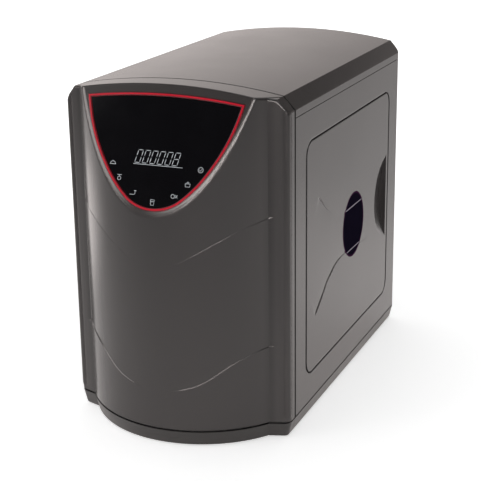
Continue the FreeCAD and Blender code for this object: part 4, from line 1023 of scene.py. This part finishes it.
plate = turned(BADGE_PROFILE, BADGE_CENTRE, Vector((1, 0, 0)))
moulding("badge_plate", plate, "door_badge", badge_finish())
lines_mesh = bpy.data.meshes.new("badge_lines")
with opened(lines_mesh) as work:
    for offset in BADGE_LINES:
        reach = math.sqrt((BADGE_RADIUS - BADGE_RIM) ** 2 - offset ** 2)
        for vertex in bmesh.ops.create_cube(work, size=1.0)["verts"]:
            x, y, z = vertex.co
            bar = Vector((x * LINE_THICKNESS, y * 2 * reach, offset + z * LINE_WIDTH))
            vertex.co = BADGE_CENTRE + bar
badge_lines = new_object("badge_lines", lines_mesh)
badge_lines.data.materials.append(moulded("pale_ink", (0.62, 0.55, 0.68), 0.45, INK_GRAIN))
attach(badge_lines, "right_door")
print("badge", round(2 * BADGE_RADIUS / MM), "mm across, with", len(BADGE_LINES), "lines")

# %% [markdown]
# ## The facet's frame
# The display leans back, so what lies on it is easier to make flat and to lay in place at the end. An
# empty could carry it there, but a matrix puts the place into the mesh itself. Its columns are the
# facet's ways across, up and outwards, and the last one is the facet's lowest point.

# %% Facet frame
facet = Matrix(((1, 0, 0, 0),
                (0, math.sin(FACET_LEAN), -math.cos(FACET_LEAN), FRONT_Y),
                (0, math.cos(FACET_LEAN), math.sin(FACET_LEAN), FACET_LOW),
                (0, 0, 0, 1)))
print("the facet leans back by", round(math.degrees(FACET_LEAN), 1), "degrees")

# %% [markdown]
# ## Trim
# A thin moulded ring frames the black glass. Its crown is a bright red; both of its edges are rounded
# off, and a darker red painted on them stands for the shade they fall into, which makes it look finer
# than it is. It could be a painted line, but the photograph's glint shows a shape. So the ring's top is
# inset on both sides and its middle is raised.

# %% Trim
TRIM_EDGE = 0.85 * MM
TRIM_CROWN = 0.2 * MM
outwards = facet.col[2].xyz
trim_mesh = merged_copy("display_trim")
with opened(trim_mesh) as work:
    level = max(v.co.dot(outwards) for v in work.verts)
    top = [f for f in work.faces if min(v.co.dot(outwards) for v in f.verts) > level - ON_SKIN]
    edging = bmesh.ops.inset_region(work, faces=top, thickness=TRIM_EDGE, depth=TRIM_CROWN,
                                    use_even_offset=True)["faces"]
    work.faces.index_update()
    edging = {face.index for face in edging}
trim = moulding("display_trim_moulding", trim_mesh, "display_trim")
# The inset edge faces take a much darker red: painted shade for their roll into shadow.
trim.data.materials.append(moulded("red_edge_painted_shade", (0.12, 0.003, 0.010), 0.3, TRIM_GRAIN))
for face in trim.data.polygons:
    face.material_index = int(face.index in edging)
print("trim", len(top), "faces on top,", len(edging), "in its edges")

# %% [markdown]
# ## What repeats
# Bars, strokes, screws and wires are each one small shape, many times over. A loop could place copies,
# but Geometry Nodes keep the rule and its sizes together, as named inputs of a tree. The script builds
# each tree, runs it once on a mesh of points or edges, and keeps the result as a plain mesh. The first
# tree sets a bar on every point, and the second runs a bead along every edge.

# %% Geometry Nodes helper
class Tree:
    """A Geometry Nodes tree with named inputs and one method that adds a node."""

    def __init__(self, name, **inputs):
        self.tree = bpy.data.node_groups.new(name, "GeometryNodeTree")
        face = self.tree.interface
        face.new_socket("Geometry", in_out="INPUT", socket_type="NodeSocketGeometry")
        self.keys = {}
        for key, value in inputs.items():
            kind = {bool: "Bool", int: "Int", float: "Float"}.get(type(value), "Material")
            socket = face.new_socket(key.replace("_", " "), in_out="INPUT", socket_type="NodeSocket" + kind)
            self.keys[key] = socket.identifier
            if kind != "Material":
                socket.default_value = value
        face.new_socket("Geometry", in_out="OUTPUT", socket_type="NodeSocketGeometry")
        self.entry = self.tree.nodes.new("NodeGroupInput")
        self.exit = self.tree.nodes.new("NodeGroupOutput")

    def given(self, key="Geometry"):
        return self.entry.outputs[key.replace("_", " ")]

    def add(self, kind, settings=None, output=0, **sockets):
        node = self.tree.nodes.new(kind)
        for key, value in (settings or {}).items():
            setattr(node, key, value)
        for key, value in sockets.items():
            socket = node.inputs[key.replace("_", " ")]
            for one in value if isinstance(value, list) else [value]:
                if isinstance(one, bpy.types.NodeSocket):
                    self.tree.links.new(one, socket)
                else:
                    socket.default_value = one
        return node.outputs[output]

    def vector(self, x=0.0, y=0.0, z=0.0):
        return self.add("ShaderNodeCombineXYZ", X=x, Y=y, Z=z)

    def finish(self, geometry):
        """Ends the tree: instances made real, and the finish on them."""
        real = self.add("GeometryNodeRealizeInstances", Geometry=geometry)
        painted = self.add("GeometryNodeSetMaterial", Geometry=real, Material=self.given("Finish"))
        self.tree.links.new(painted, self.exit.inputs[0])

    def make(self, name, mesh, **values):
        """A plain mesh object from the tree, run on the given mesh."""
        thing = new_object(name, mesh)
        modifier = thing.modifiers.new(name, "NODES")
        modifier.node_group = self.tree
        for key, value in values.items():
            modifier[self.keys[key]] = value
        graph = bpy.context.evaluated_depsgraph_get()
        thing.data = bpy.data.meshes.new_from_object(thing.evaluated_get(graph))
        thing.modifiers.clear()
        return thing


print("node helper ready")


# %% Bar and bead trees
INK = 0.05 * MM              # how thick the print is


def points_mesh(points, edges=(), **attributes):
    """A mesh to run a tree on. An attribute has a number or a vector for each point."""
    mesh = bpy.data.meshes.new("points")
    mesh.from_pydata(points, edges, [])
    for key, values in attributes.items():
        kind, field = ("FLOAT", "value") if isinstance(values[0], float) else ("FLOAT_VECTOR", "vector")
        mesh.attributes.new(key, kind, "POINT").data.foreach_set(field, np.ravel(values).astype(float))
    return mesh


bars = Tree("bar_on_points", Length=1.0 * MM, Width=0.3 * MM, Thickness=INK, Finish=None)
outline = bars.add("GeometryNodeMeshCircle", {"fill_type": "NGON"}, Vertices=6, Radius=0.5)
outline = bars.add("GeometryNodeTransform", Geometry=outline,
                   Scale=bars.vector(bars.given("Length"), bars.given("Width"), 1.0))
solid = bars.add("GeometryNodeExtrudeMesh", Mesh=outline, Offset_Scale=bars.given("Thickness"))
turn = bars.add("GeometryNodeInputNamedAttribute", {"data_type": "FLOAT"}, Name="turn")
placed = bars.add("GeometryNodeInstanceOnPoints", Points=bars.given(), Instance=solid,
                  Rotation=bars.add("FunctionNodeEulerToRotation", Euler=bars.vector(0.0, 0.0, turn)))
bars.finish(placed)


def bead(tree, path):
    """Ends a tree with a round bead along the path."""
    profile = tree.add("GeometryNodeCurvePrimitiveCircle", Radius=tree.given("Radius"),
                       Resolution=tree.given("Sides"))
    tree.finish(tree.add("GeometryNodeCurveToMesh", Curve=path, Profile_Curve=profile, Fill_Caps=True))


strokes = Tree("bead_on_edges", Radius=0.25 * MM, Sides=8, Finish=None)
bead(strokes, strokes.add("GeometryNodeMeshToCurve", Mesh=strokes.given()))
print("node trees", [t.name for t in bpy.data.node_groups])

# %% [markdown]
# ## Digits
# The black glass carries white print, first a row of slanted seven-bar digits. A font would need its
# file, and its strokes aren't bars. So each digit is up to seven places for the same bar, and a shear
# of the finished mesh slants them all. The print is laid on the facet, a hair above the glass.

# %% Digits
GLASS_LEVEL = -0.4 * MM      # from the facet
HAIR = 0.01 * MM
DIGIT_LEFT, DIGIT_RIGHT = -26 * MM, 26 * MM
DIGIT_LOW, DIGIT_HIGH = 53.5 * MM, 67 * MM
DIGIT_LEAN = 0.24
DIGIT_WIDTH = 5.6 * MM
BAR_WIDTH = 0.66 * MM
BAR_SHARE = 0.94             # of half the digit's height, so that the bars nearly meet
UPRIGHT = math.pi / 2
LIT = {"0": "abcdef", "8": "abcdefg"}
READING = "000008"
# The ink glows a little, bluish: a painted glow, as print gives no light of its own.
white_ink_painted_glow = Finish("white_ink_painted_glow", Base_Color=(0.75, 0.78, 0.80), Roughness=0.5,
                   Emission_Color=(0.75, 0.82, 0.9), Emission_Strength=0.22)
white_ink_painted_glow.set(Base_Color=white_ink_painted_glow.blend(white_ink_painted_glow.noise(900.0), (0.50, 0.52, 0.54), (0.66, 0.69, 0.71)))

half_height = (DIGIT_HIGH - DIGIT_LOW) / 2
half_width = DIGIT_WIDTH / 2
BAR_PLACES = {"a": (0, half_height, 0.0), "g": (0, 0, 0.0), "d": (0, -half_height, 0.0),
              "b": (half_width, half_height / 2, UPRIGHT), "c": (half_width, -half_height / 2, UPRIGHT),
              "f": (-half_width, half_height / 2, UPRIGHT), "e": (-half_width, -half_height / 2, UPRIGHT)}
places, turns = [], []
pitch = (DIGIT_RIGHT - DIGIT_LEFT) / len(READING)
for k, digit in enumerate(READING):
    for bar in LIT[digit]:
        x, y, turn_angle = BAR_PLACES[bar]
        places.append((DIGIT_LEFT + pitch * (k + 0.5) + x, y, 0.0))
        turns.append(turn_angle)


def on_glass(thing, flatten=None):
    """Lays a flat piece on the facet and makes it ride on the case."""
    if flatten:
        thing.data.transform(Matrix.Diagonal((1, 1, flatten, 1)))
    thing.data.transform(facet @ Matrix.Translation((0, 0, GLASS_LEVEL + HAIR)))
    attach(thing, "case")


digits = bars.make("display_digits", points_mesh(places, turn=turns), Length=half_height * BAR_SHARE,
                   Width=BAR_WIDTH, Thickness=INK, Finish=white_ink_painted_glow.material)
lean = Matrix.Identity(4)
lean[0][1] = DIGIT_LEAN
digits.data.transform(Matrix.Translation((0, (DIGIT_LOW + DIGIT_HIGH) / 2, 0)) @ lean)
on_glass(digits)
print("digit bars", len(places))

# %% [markdown]
# ## Line and pictograms
# Under the digits run a line and seven small pictograms along the shield's edge. Flat pictures could
# hold them, but at this size each is a few strokes, so they are lists of corners for the bead tree. The
# round beads are then flattened to the thickness of ink.

# %% Line and pictograms
ICON_STROKE = 0.25 * MM
UNDERLINE = [(-27.5, 52.0), (29.6, 52.0)]


def ring(x, y, r, end=360, steps=16):
    """Points on a ring about (x, y), from the right round to the end angle."""
    angles = [math.radians(end * k / steps) for k in range(steps + 1)]
    return [(x + r * math.cos(a), y + r * math.sin(a)) for a in angles]


ICONS = {   # place on the facet in mm: strokes in mm about it
    (-51.3, 50.6): [ring(0, -0.8, 3.0, 180), [(-3.6, -0.8), (3.6, -0.8)], [(0, 2.2), (0, 3.1)]],
    (-41.8, 36.6): [[(-2.6, 2.4), (2.6, 2.4)], [(0, 2.4), (0, 0.6)], ring(0, -1.3, 1.9)],
    (-23.8, 21.2): [[(-3.4, -1.6), (1.4, -1.6), (2.6, -0.6), (2.6, 2.4)], [(1.2, 2.4), (4.0, 2.4)]],
    (0.0, 13.2): [[(-2.2, 2.8), (-1.7, -2.8), (1.7, -2.8), (2.2, 2.8), (-2.2, 2.8)],
                  [(-2.0, 0.9), (2.0, 0.9)]],
    (24.1, 21.7): [ring(-1.5, 0, 2.0), [(1.2, 1.6), (3.8, -1.6)], [(3.8, 1.6), (1.2, -1.6)]],
    (37.8, 35.5): [[(-2.8, 0.6), (-2.4, -2.6), (2.4, -2.6), (2.8, 0.6), (-2.8, 0.6)],
                   [(-1.6, 1.6), (1.6, 1.6)], [(0, 1.6), (0, 3.0)]],
    (50.4, 51.5): [ring(0, 0, 2.8), [(-1.4, 0.1), (-0.3, -1.2), (1.6, 1.4)]],
}


def chains(paths):
    """A mesh with the points of every path, given in mm, and edges along each."""
    points, edges = [], []
    for path in paths:
        edges += [(len(points) + k, len(points) + k + 1) for k in range(len(path) - 1)]
        points += [[c * MM for c in point] for point in path]
    return points_mesh(points, edges)


paths = [[(x + u, y + v, 0) for u, v in stroke] for (x, y), group in ICONS.items() for stroke in group]
paths.append([(x, y, 0) for x, y in UNDERLINE])
icons = strokes.make("display_pictograms", chains(paths), Radius=ICON_STROKE, Sides=8,
                     Finish=white_ink_painted_glow.material)
on_glass(icons, flatten=INK / ICON_STROKE)
print("strokes", len(paths))

# %% [markdown]
# ## Screws
# The back, the mains inlet, the feet, the hinges, the pump and the sheet-metal parts are held by pan-head
# cross screws. All are the same screw, so a node tree makes one, cuts its cross, and sets it on points.
# Each point carries the way its screw faces, and the cross is turned by chance, as a hand leaves it.

# %% Screw tree
PAN_HEAD, FLAT_HEAD = 1.9 * MM, 1.2 * MM
screws = Tree("screw_on_points", Radius=3.4 * MM, Height=PAN_HEAD, Cross_Width=0.9 * MM,
              Cross_Length=3.6 * MM, Seed=7, Finish=None)
head, height, arm, width = [screws.given(key) for key in ("Radius", "Height", "Cross_Length", "Cross_Width")]
dome = screws.add("GeometryNodeMeshUVSphere", Segments=20, Rings=12, Radius=1.0)
dome = screws.add("GeometryNodeTransform", Geometry=dome, Scale=screws.vector(head, head, height))
cross = [screws.add("GeometryNodeMeshCube", Size=screws.vector(*size, height))
         for size in ((arm, width), (width, arm))]
cutter = screws.add("GeometryNodeTransform", Translation=screws.vector(z=height),
                    Geometry=screws.add("GeometryNodeJoinGeometry", Geometry=cross))
cut = screws.add("GeometryNodeMeshBoolean", Mesh_1=dome, Mesh_2=cutter)
facing = screws.add("GeometryNodeInputNamedAttribute", {"data_type": "FLOAT_VECTOR"}, Name="facing")
spin = screws.add("FunctionNodeRandomValue", {"data_type": "FLOAT"}, output=1, Seed=screws.given("Seed"))
spin.node.inputs[3].default_value = math.pi / 2   # the largest turn; names repeat on this node
spun = screws.add("FunctionNodeEulerToRotation", Euler=screws.vector(z=spin))
aligned = screws.add("FunctionNodeAlignRotationToVector", {"axis": "Z"}, Rotation=spun, Vector=facing)
screws.finish(screws.add("GeometryNodeInstanceOnPoints", Points=screws.given(), Instance=cut,
                         Rotation=aligned))
print("screw tree has", len(screws.tree.nodes), "nodes")

# %% [markdown]
# ## Screws on their pieces
# The screws stand where the CAD model has holes or bosses. They could be picked by eye in the viewport,
# but a list of places and ways in millimetres can be read and checked. The heads under the feet are flat,
# so that the feet and not the screws stand on the floor.

# %% Screws on their pieces
BACK, SEAM = 234.4, SEAM_Y / MM
PUMP, HEAD_RING = (-62, 72), 25   # the pump's axis, across and up, and the ring of its head's screws
SCREWED = {   # name and body: place in mm, facing
    ("back_screws", "case"):
        [((side * 117.5, BACK, z), (0, 1, 0)) for side in (-1, 1) for z in (44, 190, 336)]
        + [((x, BACK - 0.3, 96), (0, 1, 0)) for x in (43.5, 82.5)],
    ("foot_screws", "case"):
        [((side * 97, y, 1.5), (0, 0, -1)) for side in (-1, 1) for y in (-160.5, 200.5)],
    ("pump_screws", "case"):
        [((PUMP[0] + HEAD_RING * math.cos(a), -138.4, PUMP[1] + HEAD_RING * math.sin(a)), (0, -1, 0))
         for a in (math.radians(30 + 60 * k) for k in range(6))]
        + [((PUMP[0] + dx, -82.5 + dy, 16.4), (0, 0, 1)) for dx in (-29, 29) for dy in (10, 80)],
    ("sheet_screws", "case"):
        [((12.1, SEAM + y, z), (-1, 0, 0)) for y in (35, 145) for z in (227, 285)]
        + [((3, SEAM + y, 5.9), (0, 0, 1)) for y in (40, 180, 320)],
}
for sign, door in ((1, "right_door"), (-1, "left_door")):
    SCREWED[door + "_screws", door] = [
        ((sign * 126.1, y, z), (-sign, 0, 0)) for y in (-111.2, -97.7) for z in (96, 283)]
for (name, body), places in SCREWED.items():
    points = points_mesh([[c * MM for c in place] for place, _ in places],
                         facing=[way for _, way in places])
    thing = softly_shaded(screws.make(name, points, Finish=SLOTS["zinc_steel"],
                                      Height=FLAT_HEAD if name == "foot_screws" else PAN_HEAD))
    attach(thing, body)
print("screws", sum(len(places) for places in SCREWED.values()))

# %% [markdown]
# ## Wires
# A red and a black insulated wire run side by side from the power supply to the pump's motor, and on
# to the low-pressure switch and the valve's coil. They are short and stiff, so a simulated cord would
# look no different. Each is a chain of straight runs, and a tree rounds its corners before it runs the
# bead along it.

# %% Wires
WIRE_RADIUS = 0.9 * MM
WIRE_BEND = 7.0 * MM
WIRE_GAUGE = {"Radius": WIRE_RADIUS, "Bend": WIRE_BEND, "Sides": 10}
WIRES = {   # name: colour, how far it lies beside its twin, and where it ends at the motor and the switch
    "wires_red": ((0.35, 0.012, 0.012), 0.0, -50, -1.5),
    "wires_black": ((0.012, 0.012, 0.014), -2.4, -74, -9.5),
}
bends = Tree("bead_on_rounded_edges", **WIRE_GAUGE, Finish=None)
path = bends.add("GeometryNodeMeshToCurve", Mesh=bends.given())
path = bends.add("GeometryNodeFilletCurve", {"mode": "POLY"}, Curve=path, Radius=bends.given("Bend"), Count=6)
bead(bends, path)
for name, (colour, aside, at_motor, at_switch) in WIRES.items():
    runs = [   # across, back from the seam, up
        [(8 + aside, 60, 224), (8 + aside, 60, 140), (8 + aside, 186, 140), (8 + aside, 186, 90),
         (at_motor, 186, 90), (at_motor, 168, 90)],
        [(at_switch, 143, 252), (at_switch, 317, 252)],
        [(2 + aside, 143, 240), (2 + aside, 322 + aside, 240), (-4 + aside, 322 + aside, 187)],
    ]
    route = chains([[(x, SEAM + y, z) for x, y, z in run] for run in runs])
    wires = softly_shaded(bends.make(name, route, **WIRE_GAUGE,
                                     Finish=moulded(name, colour, 0.4, GLOSS_GRAIN)))
    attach(wires, "case")
print("wires", list(WIRES))

# %% [markdown]
# ## Everything else
# The panels, the tray, the tubes, the filters and the rest of the works keep the shape that the CAD
# model gives them. They could be shown as they are, but then their curves would show facets. One loop
# merges, shades and dresses every node that no piece stands for yet.

# %% Everything else
left = [node for node in nodes if not nodes[node].hide_render]
for node in left:
    moulding(node + "_moulding", merged_copy(node), node)
print("merged and shaded", len(left), "of", len(nodes))
